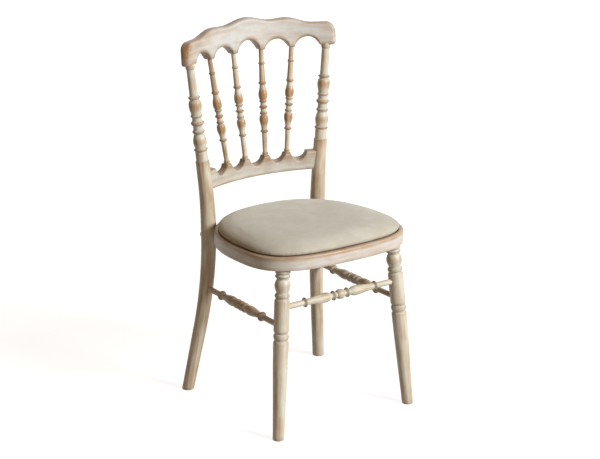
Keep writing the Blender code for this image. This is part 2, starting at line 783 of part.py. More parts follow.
def make_bolt(side, name, finish, parent):
    centre, way = bolt_axis(side)
    radius = REAR_SEAT_DIAMETER / 2
    seat = centre - way * (radius - BOLT_SPOT_DEPTH + FIT)
    head = BOLT_HEAD_DIAMETER / 2
    pin = BOLT_DIAMETER / 2
    length = 2 * radius - BOLT_SPOT_DEPTH + INSERT_SETBACK + INSERT_LENGTH
    points = []
    for i in range(1, DOME_STEPS + 1):
        t = math.pi / 2 * i / DOME_STEPS
        points.append((-BOLT_HEAD_HEIGHT * math.cos(t), head * math.sin(t)))
    points += [(0, pin), (length, pin)]
    tip = seat - way * BOLT_HEAD_HEIGHT
    path = straight(seat, centre)
    loops = [circle(*path(reach), size, PIN_SIDES) for reach, size in points]
    add_piece(name, skin(loops, tip_first=tip), finish, parent, seat)


def make_insert(side, name, finish, parent):
    centre, way = bolt_axis(side)
    start = centre + way * (REAR_SEAT_DIAMETER / 2 + INSERT_SETBACK)
    outer = INSERT_DIAMETER / 2
    inner = (BOLT_DIAMETER / 2 + FIT) / math.cos(math.pi / PIN_SIDES)
    path = straight(start, start + way)
    section = [(0, outer), (INSERT_LENGTH, outer), (INSERT_LENGTH, inner), (0, inner)]
    loops = [circle(*path(reach), radius, PIN_SIDES) for reach, radius in section]
    add_piece(name, skin(loops, ring=True), finish, parent, start)


def pad_outline(inset, height):
    """The pad's edge in plan, a gap inside the ring's lip."""
    return seat_outline(RING_LIP + PAD_GAP + inset, height, PAD_SEGMENTS)


def pad_dome(inset, edge, crown):
    """Loops of a crowned pad from its edge to near its middle, and the tip of its crown."""
    rim = pad_outline(inset - PAD_BULGE, edge)
    middle = Vector((0, PAD_CROWN_PLACE, 0))
    loops = []
    for i in range(1, CROWN_RINGS + 1):
        share = math.cos(math.pi / 2 * i / (CROWN_RINGS + 1)) ** PAD_RING_SPREAD
        height = edge + (crown - edge) * math.sqrt(1 - share ** PAD_FLATNESS)
        loop = [middle.lerp(point, share) for point in rim]
        loops.append([on_seat(point, height) for point in loop])
    return [rim] + loops, on_seat(middle, crown)


def make_pad(finishes, parent):
    """Board, foam and cover, each clear of the next by FIT."""
    edge = RING_TOP + PAD_EDGE_HEIGHT
    crown = RING_TOP + PAD_CROWN
    hem_low = LEDGE + FIT
    hem_high = hem_low + COVER_THICKNESS
    board_low = hem_high + FIT
    board_high = board_low + BOARD_THICKNESS
    outer, tip = pad_dome(0, edge, crown)
    inner, inner_tip = pad_dome(COVER_THICKNESS, edge, crown - COVER_THICKNESS)
    skirt = [
        pad_outline(COVER_THICKNESS, hem_high),
        pad_outline(COVER_HEM, hem_high),
        pad_outline(COVER_HEM, hem_low),
        pad_outline(RAIL_EDGE, hem_low),
        pad_outline(0, hem_high),
        pad_outline(0, board_high),
    ]
    inside = list(reversed(inner)) + [pad_outline(COVER_THICKNESS, board_high)]
    cover = skin(inside + skirt + outer, tip_first=inner_tip, tip_last=tip)
    add_piece("pad_cover", cover, finishes["fabric"], parent, parent.location)

    clear = COVER_THICKNESS + FIT
    dome, dome_tip = pad_dome(clear, edge, crown - clear)
    base = [pad_outline(clear, board_high + FIT)]
    foam = skin(base + dome, tip_last=dome_tip)
    add_piece("pad_foam", foam, finishes["foam"], parent, parent.location)

    rim = [pad_outline(clear, height) for height in (board_low, board_high)]
    add_piece("pad_board", skin(rim), finishes["plywood"], parent, parent.location)


def main():
    clear_scene()
    beech = material("limewashed_beech", (0.60, 0.49, 0.37), 0.5)
    steel = material("bolt_steel", (0.55, 0.50, 0.42), 0.4, 0.8)
    brass = material("insert_brass", (0.60, 0.45, 0.20), 0.4, 0.9)
    finishes = {
        "fabric": material("pad_fabric", (0.56, 0.52, 0.43), 0.9),
        "foam": material("pad_foam", (0.85, 0.80, 0.60), 0.95),
        "plywood": material("pad_plywood", (0.62, 0.48, 0.32), 0.7),
    }
    chair = empty("chair", (0, 0, 0))
    pad = empty("seat_pad", (0, (SEAT_FRONT + SEAT_BACK) / 2, LEDGE))
    pad.parent = chair

    for side, hand in ((-1, "left"), (1, "right")):
        make_rear_leg(side, "rear_leg_" + hand, beech, chair)
        make_front_leg(side, "front_leg_" + hand, beech, chair)
        make_stretcher("side_stretcher_" + hand, side_stretcher_ends(side), SIDE_STRETCHER_TURNING,
                       SIDE_STRETCHER_SHIFT, beech, chair)
        make_bolt(side, "leg_bolt_" + hand, steel, chair)
        make_insert(side, "bolt_insert_" + hand, brass, chair)
    ends = front_stretcher_ends()
    make_stretcher("front_stretcher", ends, FRONT_STRETCHER_TURNING, 0, beech, chair)
    make_crest(beech, chair)
    make_lower_rail(beech, chair)
    for index in range(SPINDLES):
        make_spindle(index, beech, chair)
    make_ring(beech, chair)
    make_pad(finishes, pad)


main()
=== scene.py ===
# Looks for a limewashed napoleon chair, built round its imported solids. Every wooden piece is made
# again with fine turnings and eased edges, and the seat pad is a simulated cushion.
# Metres, +Z up, the chair's front towards -Y. Left is -X.
import random
from collections import namedtuple
from math import acos, asin, atan2, copysign, cos, hypot, pi, radians, sin, sqrt

import bmesh
import bpy
import numpy as np
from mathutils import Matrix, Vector


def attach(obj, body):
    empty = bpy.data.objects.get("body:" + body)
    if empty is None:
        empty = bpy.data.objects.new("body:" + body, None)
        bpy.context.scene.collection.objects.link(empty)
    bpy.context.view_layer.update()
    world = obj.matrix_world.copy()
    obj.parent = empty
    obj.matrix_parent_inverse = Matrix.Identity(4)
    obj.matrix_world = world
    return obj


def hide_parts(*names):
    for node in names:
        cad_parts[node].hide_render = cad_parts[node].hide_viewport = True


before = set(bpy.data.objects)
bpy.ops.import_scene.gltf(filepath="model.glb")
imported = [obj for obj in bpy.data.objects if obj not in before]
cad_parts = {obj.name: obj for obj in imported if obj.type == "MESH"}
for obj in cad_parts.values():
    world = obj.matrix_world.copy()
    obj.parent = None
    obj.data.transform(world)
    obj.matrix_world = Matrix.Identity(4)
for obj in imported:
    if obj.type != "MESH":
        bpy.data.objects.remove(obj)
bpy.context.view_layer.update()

# Seat ring. Its heights hold at the seat's front edge, and the seat drops towards the back.
SEAT_SLOPE = 0.025
RING_BOTTOM = 0.4182
RING_HEIGHT = 0.034
RING_WIDTH = 0.038
RING_LIP = 0.0115
RING_REBATE = 0.011
RING_TOP_ROUND = 0.006
RING_BOTTOM_ROUND = 0.003
RING_LIP_ROUND = 0.002
RING_CLEAN_LOW = 0.3
RING_CLEAN_HIGH = 0.36
SEAT_HALF_WIDTH = 0.2181
SEAT_FRONT = -0.2315
SEAT_WIDEST = -0.077
SEAT_BACK = 0.181
SEAT_FRONT_SQUARENESS = 2.99
SEAT_BACK_SQUARENESS = 2.36
RING_TOP = RING_BOTTOM + RING_HEIGHT
RING_MIDDLE = RING_BOTTOM + RING_HEIGHT / 2
LEDGE = RING_TOP - RING_REBATE

# Front legs
FRONT_LEG_TURN = radians(-43.5)
FRONT_LEG_INSET = 0.0232
FRONT_SPLAY = 0.0804
FRONT_RAKE = 0.0654
FRONT_FOOT_DIAMETER = 0.0274
FOOT_CHAMFER = 0.0012
FOOT_CLEAR = 0.010
FRONT_LEG_SUNK = 0.005

# Rear legs
REAR_LEG_TURN = radians(49.3)
REAR_SEAT_DIAMETER = 0.0385
SADDLE_DEPTH = 0.0014
REAR_FOOT_SPLAY = -0.138
REAR_FOOT_RAKE = -0.150
POST_SPLAY = 0.100
POST_RAKE = 0.047
REAR_BEND_LOW = 0.17
REAR_BEND_HIGH = 0.56
REAR_FOOT_DIAMETER = 0.030
REAR_SHIN_HEIGHT = 0.20
REAR_SHIN_DIAMETER = 0.034
POST_SHOULDER = 0.6063
POST_SHOULDER_DIAMETER = 0.0335
POST_NECK_DIAMETER = 0.0196
POST_COLLAR_DIAMETER = 0.0230
POST_COLLAR_HEIGHT = 0.0080
REAR_LEG_TAPER = (
    (0.0, REAR_FOOT_DIAMETER / 2), (REAR_SHIN_HEIGHT, REAR_SHIN_DIAMETER / 2),
    (RING_MIDDLE, REAR_SEAT_DIAMETER / 2), (POST_SHOULDER, POST_SHOULDER_DIAMETER / 2),
)

# Rails of the back
CREST_BOTTOM = 0.8455
CREST_BOW = 0.056
CREST_NOSE_DROP = 0.0025
CREST_THICKNESS = 0.025
CREST_SETBACK = 0.0015
CREST_OVERHANG = 0.0247
CREST_ARCH_RISE = 0.0235
CREST_MIDDLE_RISE = 0.029
CREST_NOSE_FLAT = 0.014
CREST_BLOCK_FLAT = 0.033
CREST_TOP_ROUND = 0.007
CREST_END_ROUND = 0.024
CREST_END_DROP = 0.030
CREST_PITCH = 0.082
CREST_EDGE = 0.0045
CREST_FRONT_ROUND = 0.006
CREST_ARCH_SQUARENESS = 1.55
# The crest's left end is darker than its right: partly wear, partly painted shade.
CREST_LEFT_WEAR_AND_SHADE = 1.0
CREST_RIGHT_WEAR = 0.08
CREST_POST_WEAR = 0.35
CREST_LOW_WEAR = 0.55
CREST_END_SQUARENESS = 2.6
CREST_END_CORNER = 0.006
CREST_BROWN = 0.62
CREST_TOP = ((0.0, 0.0813), (0.070, 0.0693), (0.107, 0.0713), (0.178, 0.0564))
RAIL_BOTTOM = 0.532
RAIL_HEIGHT = 0.048
RAIL_SCALLOP = 0.0175
RAIL_BOW = 0.036
RAIL_THICKNESS = 0.022
RAIL_PEAK_FLAT = 0.017
RAIL_BLOCK_FLAT = 0.036
RAIL_PITCH = 0.0603
RAIL_EDGE = 0.0022
RAIL_SCOOP = 0.0045
RAIL_FLARE = 0.0015
RAIL_FRONT_ROUND = 0.0055
RAIL_PEAK_WEAR = 0.42
RAIL_DIP_BROWN = 0.45
RAIL_TOP = RAIL_BOTTOM + RAIL_HEIGHT
NOSE_BOTTOM = CREST_BOTTOM - CREST_NOSE_DROP
SPINDLES = 4
SPINDLE_SUNK = 0.006
SPINDLE_NECK_DIAMETER = 0.0120

# Stretchers
FRONT_STRETCHER_HEIGHT = 0.3225
SIDE_STRETCHER_HEIGHT = 0.277
SIDE_STRETCHER_SHIFT = 0.0038
STRETCHER_NECK_DIAMETER = 0.0138
STRETCHER_TENON = 0.014

# Bolts
BOLT_RISE = 0.0075
BOLT_HEAD_DIAMETER = 0.012
BOLT_HEAD_HEIGHT = 0.0035
BOLT_SPOT_DEPTH = 0.0012
BOLT_KEY_WIDTH = 0.004
BOLT_KEY_DEPTH = 0.0022
BOLT_KEY_MOUTH = 1.05
BOLT_KEY_CHAMFER = 0.1
BOLT_RIM_SHARE = 1.3
BOLT_SIDE_SHARE = 0.25
BOLT_DOME_STEPS = 8
BOLT_SIDES = 48

# Pad
PAD_GAP = 0.004
PAD_BULGE = 0.0062
PAD_CROWN = 0.0332
PAD_CROWN_PLACE = -0.07
PAD_EDGE_HEIGHT = 0.004
PAD_FLATNESS = 4.7
COVER_THICKNESS = 0.0012
COVER_HEM = 0.016
BOARD_THICKNESS = 0.006
BOARD_EASE = 0.0008
FIT = 0.0003
HEM_BOTTOM = LEDGE + FIT
HEM_TOP = HEM_BOTTOM + COVER_THICKNESS
PAD_SWELL = 0.004
PAD_POINTS = 200
PAD_RINGS = 26
PAD_RING_POWER = 0.8
PAD_VOXEL = 0.005
SKIRT_SHARE = 0.3
SKIRT_TOP_SHARE = 0.5
SKIRT_TUCK = 0.0006
SKIRT_DROP = 0.001
RIM_SHARE = -0.2
CLOTH_FRAMES = 20
CLOTH_SETTINGS = {
    "quality": 6, "mass": 0.3, "tension_stiffness": 8, "compression_stiffness": 8, "shear_stiffness": 4,
    "bending_stiffness": 1.0, "use_pressure": True, "uniform_pressure_force": 4.0,
}
EVEN_PASSES = 60
WRINKLE_SHARE = 0.15
# Painted shade of the gap round the pad: the cover is dark up to this height over the ring's top.
GAP_SHADE_TOP = 0.0031
GAP_SHADE_FADE = 0.002
# Painted shade on the cover's lower rim: darkest at the ring's top, gone by this height above it.
RIM_SHADE = 0.55
RIM_SHADE_TOP = 0.030
HEM_PLEATS = 34
PLEAT_DEPTH = 0.0008
PLEAT_MIX = 0.6
PLEAT_RATIO = 1.7
HEM_ROUND = 0.0010
HEM_ROUND_TUCK = 0.0002
STAPLES = 36
STAPLE_LENGTH = 0.010
STAPLE_WIRE = 0.00045
STAPLE_WIDTH = 1.3
STAPLE_HEIGHT = 0.9
STAPLE_SIDES = 8
STAPLE_ENDS = ((-0.5, 0.4), (-0.47, 1.0), (0.47, 1.0), (0.5, 0.4))
STAPLE_PLACE = 0.62
STAPLE_TURN = 0.35
STAPLE_STRAY = 0.0015

# How finely pieces are made
STEP = 0.0004
LONGEST_STEP = 0.008
SHARP_BEND = 2.0
MOSTLY_SIDEWAYS = 0.8
SHARP_ANGLE = radians(50)
TURN_EASE = 0.0003
SIDES = 44
ROUND_STEPS = 5
MOVE_STEPS = 24
BEAD_POWER = 1.5
ARCH_STEPS = 48
END_STEPS = 36
RAIL_STEP = 0.0010
CORNER_EASE = 0.0010
RING_SEGMENTS = 260
OUTLINE_SAMPLES = 5760
SEED_SPREAD = 9.0
SEED = 7
TINY = 1e-6

# How wear and the painted shade in grooves are read off a turned outline: the widths it is averaged over,
# and what counts as a full edge, groove, bulge or cove
BROAD = 0.012
NARROW = 0.0022
GROOVE = 0.0008
EDGE_DEPTH = 0.0007
GROOVE_DEPTH = 0.00032
PROUD_DEPTH = 0.0018
HOLLOW_DEPTH = 0.0020
EDGE_KEEPS = 0.6
EDGE_DARK = 0.8
GROOVE_DARK = 0.9

# Wear on the rails, and painted shade on the crest's left end: how far their underside, edges and faces are
# rubbed, limed and dark
UNDER_MARKS = np.array((0.60, 0.0, 0.35))
LOW_EDGE_MARKS = np.array((0.55, 0.0, 0.55))
LOW_FACE_MARKS = np.array((0.35, 0.0, 0.4))
CROWN_MARKS = (0.90, 0.0, 0.36)
WEAR_AND_SHADE_MARKS = (1.0, 0.0, 0.22)
FACE_SHARES = (0.06, 0.16, 0.3, 0.5, 0.7, 0.84, 0.94)
LOW_FACE_REACH = 0.16
HIGH_FACE_START = 0.55
HIGH_FACE_GAIN = 2.4
FACE_DARK = 0.6
END_FADE = 0.6
CROWN_LEAST = 0.35
ROUND_LIMIT = 0.9

# Finishes of the wooden pieces: the wash that is left, the lightness, and how strongly hollows are
# limed and bulges are rubbed. A leg has several washes, each at its own place along the leg.
Look = namedtuple("Look", "wash tone limed rubbed", defaults=(1.0, 1.0))
RING_LOOK = Look(0.87, 0.97)
CREST_LOOK = Look(0.90, 0.925)
RAIL_LOOK = Look(0.85, 0.81)
SPINDLE_LOOKS = [Look(wash, 1.0, 1.0, 0.85) for wash in (0.38, 0.55, 0.26, 0.52)]
FRONT_STRETCHER_LOOK = Look(0.78, 0.95, 0.3, 0.35)
SIDE_STRETCHER_LOOK = Look(0.50, 0.88, 0.3, 1.0)
FRONT_LEG_LOOK = Look((0.84, 0.82, 0.66), 0.95, 0.25, 0.3)
REAR_LEFT_LOOK = Look((0.44, 0.54, 0.66, 0.77, 0.74), 0.96, 1.0, 1.1)
REAR_RIGHT_LOOK = Look((0.50, 0.60, 0.72, 0.83, 0.80), 0.96, 1.0, 1.1)
REAR_WASH_AT = (0, 0.45, POST_SHOULDER - 0.001, POST_SHOULDER, CREST_BOTTOM)

# Colours
WHITE = (1, 1, 1)
TAN_DARK = (0.37, 0.215, 0.100)
TAN_LIGHT = (0.46, 0.290, 0.15)
TAN_FIGURE = (0.30, 0.165, 0.075)
LIME_CREAM = (0.65, 0.632, 0.53)
LIME_GREY = (0.605, 0.617, 0.610)
LIME_PINK = (0.68, 0.57, 0.47)
LIME_HOLLOW = (0.52, 0.548, 0.505)
WOOD_GRIME_AND_SHADE = (0.29, 0.20, 0.13)
WOOD_FLECK = (0.30, 0.21, 0.14)
FABRIC_DARK = (0.545, 0.540, 0.475)
FABRIC_LIGHT = (0.61, 0.615, 0.565)
FABRIC_BRUSHED = (0.555, 0.558, 0.520)
FABRIC_SPECK = (0.44, 0.41, 0.34)
# The next two are painted shade: the cover's darker lower rim, and the dark band where the gap round the
# pad lies in shadow.
FABRIC_RIM_SHADE = (0.31, 0.255, 0.155)
FABRIC_GAP_SHADE = (0.110, 0.060, 0.028)
PLY_DARK = (0.50, 0.36, 0.22)
PLY_LIGHT = (0.66, 0.52, 0.35)
PLY_PORE = (0.30, 0.20, 0.12)
PLY_KNOT = (0.36, 0.24, 0.14)

# Metals: the colour where bright, the colour where dull, and the roughness
STEEL = ((0.46, 0.41, 0.32), (0.26, 0.22, 0.16), 0.38)
BRASS = ((0.62, 0.46, 0.20), (0.40, 0.28, 0.12), 0.35)

# Studio. A light is a name, a place, a power, a size, a colour and whether reflections show it.
STUDIO_LIGHT = (0.185, 0.118, 0.050)
FLOOR_HALF = 6.0
FLOOR_COLOUR = (0.35, 0.35, 0.35, 1)
FLOOR_GLOW = 0.86
LIGHT_AIM = (0, 0, 0.45)
LIGHTS = (
    ("key", (3.4, -7.7, 4.5), 1100, 3.6, WHITE, True),
    ("fill", (-3.2, -2.4, 1.6), 11, 3.0, (1.0, 0.80, 0.58), True),
    ("back", (2.6, 5.8, 1.5), 130, 3.0, WHITE, False),
)

# Camera, fitted to the chair's joints and feet in the photograph
CAMERA_AZIMUTH = radians(-35.11)
CAMERA_HEIGHT = radians(18.03)
CAMERA_DISTANCE = 4.859
CAMERA_TARGET = (0.0, -0.0181, 0.4405)
CAMERA_LENS = 119.21
CAMERA_SENSOR = 36.0

# Turned outlines. A move is a kind, a distance along the piece, the diameter there and, for a bead
# or a ball, its widest diameter. Distances run down from the ring on the front leg, up from the
# shoulder on the post, up from the lower rail on a spindle, and out from the middle of a stretcher.
FRONT_LEG_TURNING = (
    ("to", 0.0000, 0.0364), ("to", 0.0096, 0.0364), ("to", 0.0121, 0.0304),
    ("bead", 0.0230, 0.0292, 0.0364), ("to", 0.0250, 0.0282), ("rise", 0.0400, 0.0381),
    ("fall", 0.0566, 0.0290), ("to", 0.0601, 0.0300), ("ball", 0.0698, 0.0304, 0.0362),
    ("to", 0.0730, 0.0314), ("swell", 0.0800, 0.0371), ("to", 0.1504, 0.0371),
    ("sweep", 0.1571, 0.0306), ("ball", 0.1716, 0.0314, 0.0374), ("to", 0.1746, 0.0316),
    ("swell", 0.1815, 0.0374), ("to", 0.2300, 0.0362),
)
FRONT_LEG_FACE = max(move[2] for move in FRONT_LEG_TURNING if move[0] == "to") / 2
POST_TURNING = (
    ("to", 0.0010, 0.0298), ("to", 0.0255, 0.0292), ("bead", 0.0335, 0.0272, 0.0346),
    ("to", 0.0355, 0.0274), ("rise", 0.0490, 0.0326), ("fall", 0.0690, 0.0232),
    ("bead", 0.0801, 0.0234, 0.0304), ("to", 0.0888, 0.0234), ("bead", 0.1034, 0.0236, 0.0326),
    ("to", 0.1096, 0.0236), ("bead", 0.1186, 0.0240, 0.0296), ("rise", 0.1400, 0.0316),
    ("shoulder", 0.1520, 0.0236), ("to", 0.1550, 0.0234), ("bead", 0.1641, 0.0212, 0.0296),
)
SPINDLE_TURNING = (
    ("to", 0.0000, 0.0130), ("bead", 0.0095, 0.0118, 0.0154), ("to", 0.0560, 0.0126),
    ("bead", 0.0648, 0.0138, 0.0198), ("sweep", 0.0905, 0.0222), ("shoulder", 0.0997, 0.0168),
    ("to", 0.1012, 0.0146), ("bead", 0.1108, 0.0143, 0.0194), ("to", 0.1168, 0.0143),
    ("bead", 0.1260, 0.0144, 0.0216), ("to", 0.1322, 0.0144), ("bead", 0.1402, 0.0153, 0.0196),
    ("swell", 0.1520, 0.0222), ("sweep", 0.1768, 0.0140), ("bead", 0.1862, 0.0150, 0.0198),
    ("to", 0.2270, 0.0130), ("bead", 0.2342, 0.0122, 0.0170),
)
FRONT_STRETCHER_TURNING = (
    ("to", 0.0000, 0.0244), ("shoulder", 0.0100, 0.0140), ("to", 0.0145, 0.0138),
    ("bead", 0.0258, 0.0140, 0.0244), ("to", 0.0282, 0.0148), ("rise", 0.0430, 0.0240),
    ("sweep", 0.0985, 0.0152), ("bead", 0.1085, 0.0144, 0.0244),
)
SIDE_STRETCHER_TURNING = (
    ("to", 0.0000, 0.0246), ("shoulder", 0.0078, 0.0192), ("to", 0.0098, 0.0190),
    ("bead", 0.0248, 0.0192, 0.0246), ("to", 0.0266, 0.0194), ("rise", 0.0395, 0.0244),
    ("sweep", 0.0822, 0.0154), ("bead", 0.0960, 0.0140, 0.0244),
)


def plug(tree, made, sockets):
    """Set a node's sockets to values, or link them to other nodes' outputs."""
    for key, value in sockets.items():
        if isinstance(value, bpy.types.NodeSocket):
            tree.links.new(value, made.inputs[key])
        else:
            made.inputs[key].default_value = value


def node(tree, kind, sockets=None, output=0, **settings):
    """Add a shader node, set or link its sockets, and return one of its outputs."""
    made = tree.nodes.new("ShaderNode" + kind)
    for key, value in settings.items():
        setattr(made, key, value)
    plug(tree, made, sockets or {})
    return made.outputs[output]


def calc(tree, operation, a, b, clamp=False):
    return node(tree, "Math", {0: a, 1: b}, operation=operation, use_clamp=clamp)


def mix(tree, share, a, b, blend="MIX"):
    """Mix two colours, given as sockets or as red, green and blue."""
    a, b = [c if isinstance(c, bpy.types.NodeSocket) else (*c, 1.0) for c in (a, b)]
    return node(tree, "Mix", {0: share, 6: a, 7: b}, output=2, data_type="RGBA", blend_type=blend)


def remap(tree, value, low, high, to_low=0.0, to_high=1.0):
    sockets = {"Value": value, "From Min": low, "From Max": high, "To Min": to_low, "To Max": to_high}
    return node(tree, "MapRange", sockets, interpolation_type="SMOOTHSTEP")


def noise(tree, place, scale, detail, roughness=0.55):
    """Noise with its own scale along each axis."""
    scaled = node(tree, "Mapping", {"Vector": place, "Scale": scale})
    sockets = {"Vector": scaled, "Scale": 1.0, "Detail": detail, "Roughness": roughness}
    return node(tree, "TexNoise", sockets)


def attribute(tree, name, output):
    return node(tree, "Attribute", output=output, attribute_name=name)


def new_material(name):
    made = bpy.data.materials.new(name)
    made.use_nodes = True
    tree = made.node_tree
    return made, tree, tree.nodes["Principled BSDF"]


def add_object(name, data):
    made = bpy.data.objects.new(name, data)
    bpy.context.collection.objects.link(made)
    return made


def unit(way):
    return way / np.linalg.norm(way)


def wood_material():
    """Tan beech under a rubbed lime wash: white in the hollows and rubbed through on what stands proud,
    darker on marked edges and grooves, partly as grime and partly as painted shade.
    """
    made, tree, shader = new_material("limewashed_beech")
    grain = attribute(tree, "grain", "Vector")
    relief = attribute(tree, "relief", "Vector")
    proud, hollow, edge = node(tree, "SeparateXYZ", {0: relief}).node.outputs
    wash = attribute(tree, "wash", "Fac")
    tone = attribute(tree, "tone", "Fac")

    streak = noise(tree, grain, (11, 210, 210), 4.0, 0.6)
    blotch = noise(tree, grain, (22, 48, 48), 3.0)
    tint = noise(tree, grain, (9, 22, 22), 2.0)
    fleck = noise(tree, grain, (190, 1900, 1900), 2.0)
    figure = noise(tree, grain, (5, 85, 85), 2.0)

    lines = calc(tree, "ADD", remap(tree, streak, 0.3, 0.7, -0.11, 0.11),
                 remap(tree, figure, 0.36, 0.64, 0.14, -0.14))
    lines = calc(tree, "MULTIPLY", lines, remap(tree, wash, 0.76, 0.90, 1.4, 0.5))
    cover = calc(tree, "ADD", wash, lines)
    cover = calc(tree, "ADD", cover, remap(tree, blotch, 0.3, 0.7, -0.15, 0.15))
    cover = calc(tree, "SUBTRACT", cover, calc(tree, "MULTIPLY", proud, 0.75))
    cover = calc(tree, "ADD", cover, calc(tree, "MULTIPLY", hollow, 0.75), True)

    tan = mix(tree, remap(tree, streak, 0.35, 0.65), TAN_DARK, TAN_LIGHT)
    tan = mix(tree, remap(tree, figure, 0.45, 0.60, 0.0, 0.40), tan, TAN_FIGURE)
    lime = mix(tree, remap(tree, wash, 0.82, 0.88), LIME_CREAM, LIME_GREY)
    lime = mix(tree, remap(tree, tint, 0.42, 0.62, 0.0, 0.32), lime, LIME_PINK)
    lime = mix(tree, hollow, lime, LIME_HOLLOW)
    colour = mix(tree, cover, tan, lime)
    # Grime on edges, with painted shade in grooves, on the ring's lip and on the crest's left end, as one
    # grey brown.
    colour = mix(tree, calc(tree, "MULTIPLY", edge, 0.62), colour, WOOD_GRIME_AND_SHADE)
    colour = mix(tree, remap(tree, fleck, 0.52, 0.70, 0.0, 0.14), colour, WOOD_FLECK)
    colour = mix(tree, 1.0, colour, tone, "MULTIPLY")

    rough = remap(tree, cover, 0.0, 1.0, 0.30, 0.42)
    rough = calc(tree, "ADD", rough, remap(tree, fleck, 0.3, 0.7, -0.04, 0.06))
    height = calc(tree, "ADD", calc(tree, "MULTIPLY", streak, 0.6), fleck)
    bump = node(tree, "Bump", {"Strength": 0.22, "Distance": 0.0006, "Height": height})
    plug(tree, shader, {"Base Color": colour, "Roughness": rough, "Normal": bump,
                        "Specular IOR Level": 0.28})
    return made


def fabric_material():
    """A close suede-like weave with a brushed nap that lies unevenly."""
    made, tree, shader = new_material("pad_fabric")
    place = node(tree, "TexCoord", output=3)
    nap = noise(tree, place, (26, 26, 26), 4.0, 0.6)
    brush = noise(tree, place, (12, 38.4, 12), 3.0)
    speck = noise(tree, place, (620, 620, 620), 2.0)
    thread = {"Vector": place, "Scale": 260.0, "Distortion": 1.5, "Detail": 1.0, "Detail Scale": 2.0}
    warp, weft = [node(tree, "TexWave", thread, output=1, bands_direction=way) for way in "XY"]
    weave = calc(tree, "MULTIPLY", warp, weft)

    colour = mix(tree, remap(tree, nap, 0.32, 0.68), FABRIC_DARK, FABRIC_LIGHT)
    colour = mix(tree, remap(tree, brush, 0.40, 0.66, 0.0, 0.55), colour, FABRIC_BRUSHED)
    colour = mix(tree, remap(tree, speck, 0.45, 0.75, 0.0, 0.25), colour, FABRIC_SPECK)
    upright = {0: place, 1: (0, SEAT_SLOPE, 1)}
    height = node(tree, "VectorMath", upright, output=1, operation="DOT_PRODUCT")
    rise = calc(tree, "SUBTRACT", height, RING_TOP + SEAT_SLOPE * SEAT_FRONT)
    rim = attribute(tree, "rim", "Fac")
    # Painted shade: the cover darkens towards the bottom of its rim.
    rim_shade = calc(tree, "MULTIPLY", remap(tree, rise, 0.0, RIM_SHADE_TOP, RIM_SHADE, 0.0), rim)
    colour = mix(tree, rim_shade, colour, FABRIC_RIM_SHADE)
    # Painted shade: the cover's foot, in the gap round the pad, is coloured almost black.
    gap_shade = remap(tree, rise, GAP_SHADE_TOP - GAP_SHADE_FADE, GAP_SHADE_TOP, 1.0, 0.0)
    gap_shade = calc(tree, "MULTIPLY", gap_shade, rim)
    colour = mix(tree, gap_shade, colour, FABRIC_GAP_SHADE)
    rough = remap(tree, nap, 0.3, 0.7, 0.86, 0.95)
    height = calc(tree, "ADD", calc(tree, "MULTIPLY", weave, 0.5), speck)
    bump = node(tree, "Bump", {"Strength": 0.20, "Distance": 0.0005, "Height": height})
    plug(tree, shader, {"Base Color": colour, "Roughness": rough, "Normal": bump, "Specular IOR Level": 0.2,
                        "Sheen Weight": 0.25, "Sheen Roughness": 0.5})
    return made


def plywood_material():
    made, tree, shader = new_material("pad_plywood")
    place = node(tree, "TexCoord", output=3)
    figure = noise(tree, place, (90, 7, 90), 4.0, 0.6)
    pores = noise(tree, place, (1500, 120, 1500), 2.0)
    knots = noise(tree, place, (9, 9, 9), 2.0)
    colour = mix(tree, remap(tree, figure, 0.3, 0.7), PLY_DARK, PLY_LIGHT)
    colour = mix(tree, remap(tree, pores, 0.5, 0.72, 0.0, 0.35), colour, PLY_PORE)
    colour = mix(tree, remap(tree, knots, 0.62, 0.75, 0.0, 0.4), colour, PLY_KNOT)
    rough = remap(tree, figure, 0.3, 0.7, 0.6, 0.78)
    bump = node(tree, "Bump", {"Strength": 0.25, "Distance": 0.0005, "Height": pores})
    plug(tree, shader, {"Base Color": colour, "Roughness": rough, "Normal": bump})
    return made


def metal_material(name, bright, dull, rough):
    """Plated metal with tarnish in patches and fine scratches."""
    made, tree, shader = new_material(name)
    place = node(tree, "TexCoord", output=3)
    patch = noise(tree, place, (320, 320, 320), 3.0)
    scratch = noise(tree, place, (900, 5000, 900), 2.0)
    colour = mix(tree, remap(tree, patch, 0.35, 0.65), dull, bright)
    rough = remap(tree, scratch, 0.3, 0.7, rough - 0.08, rough + 0.10)
    plug(tree, shader, {"Base Color": colour, "Roughness": rough, "Metallic": 0.9})
    return made


def add_mesh(name, points, faces, finish, values=None):
    """Make an object from points and faces, with values kept at its points."""
    mesh = bpy.data.meshes.new(name)
    mesh.from_pydata(np.asarray(points).tolist(), [], faces)
    bm = bmesh.new()
    bm.from_mesh(mesh)
    bmesh.ops.recalc_face_normals(bm, faces=bm.faces)
    bm.to_mesh(mesh)
    bm.free()
    for key, value in (values or {}).items():
        value = np.asarray(value, np.float32)
        kind = "FLOAT_VECTOR" if value.ndim == 2 else "FLOAT"
        kept = mesh.attributes.new(key, kind, "POINT")
        kept.data.foreach_set("vector" if value.ndim == 2 else "value", value.ravel())
    mesh.shade_smooth()
    mesh.set_sharp_from_angle(angle=SHARP_ANGLE)
    mesh.materials.append(finish)
    return add_object(name, mesh)


def grid_faces(rows, columns, wrap_rows=False, caps=True):
    """Faces between rows of points, each row closed on itself."""
    faces = []
    for i in range(rows if wrap_rows else rows - 1):
        low = i * columns
        high = (i + 1) % rows * columns
        for j in range(columns):
            k = (j + 1) % columns
            faces.append((low + j, low + k, high + k, high + j))
    if caps and not wrap_rows:
        last = (rows - 1) * columns
        faces.append(tuple(range(columns)))
        faces.append(tuple(range(last, last + columns)))
    return faces


def smoothed(values, step, width):
    """Average values along a line with a bell of the given width."""
    reach = max(int(3 * width / step), 1)
    bell = np.exp(-0.5 * (np.arange(-reach, reach + 1) * step / width) ** 2)
    padded = np.pad(values, reach, mode="edge")
    return np.convolve(padded, bell / bell.sum(), mode="valid")


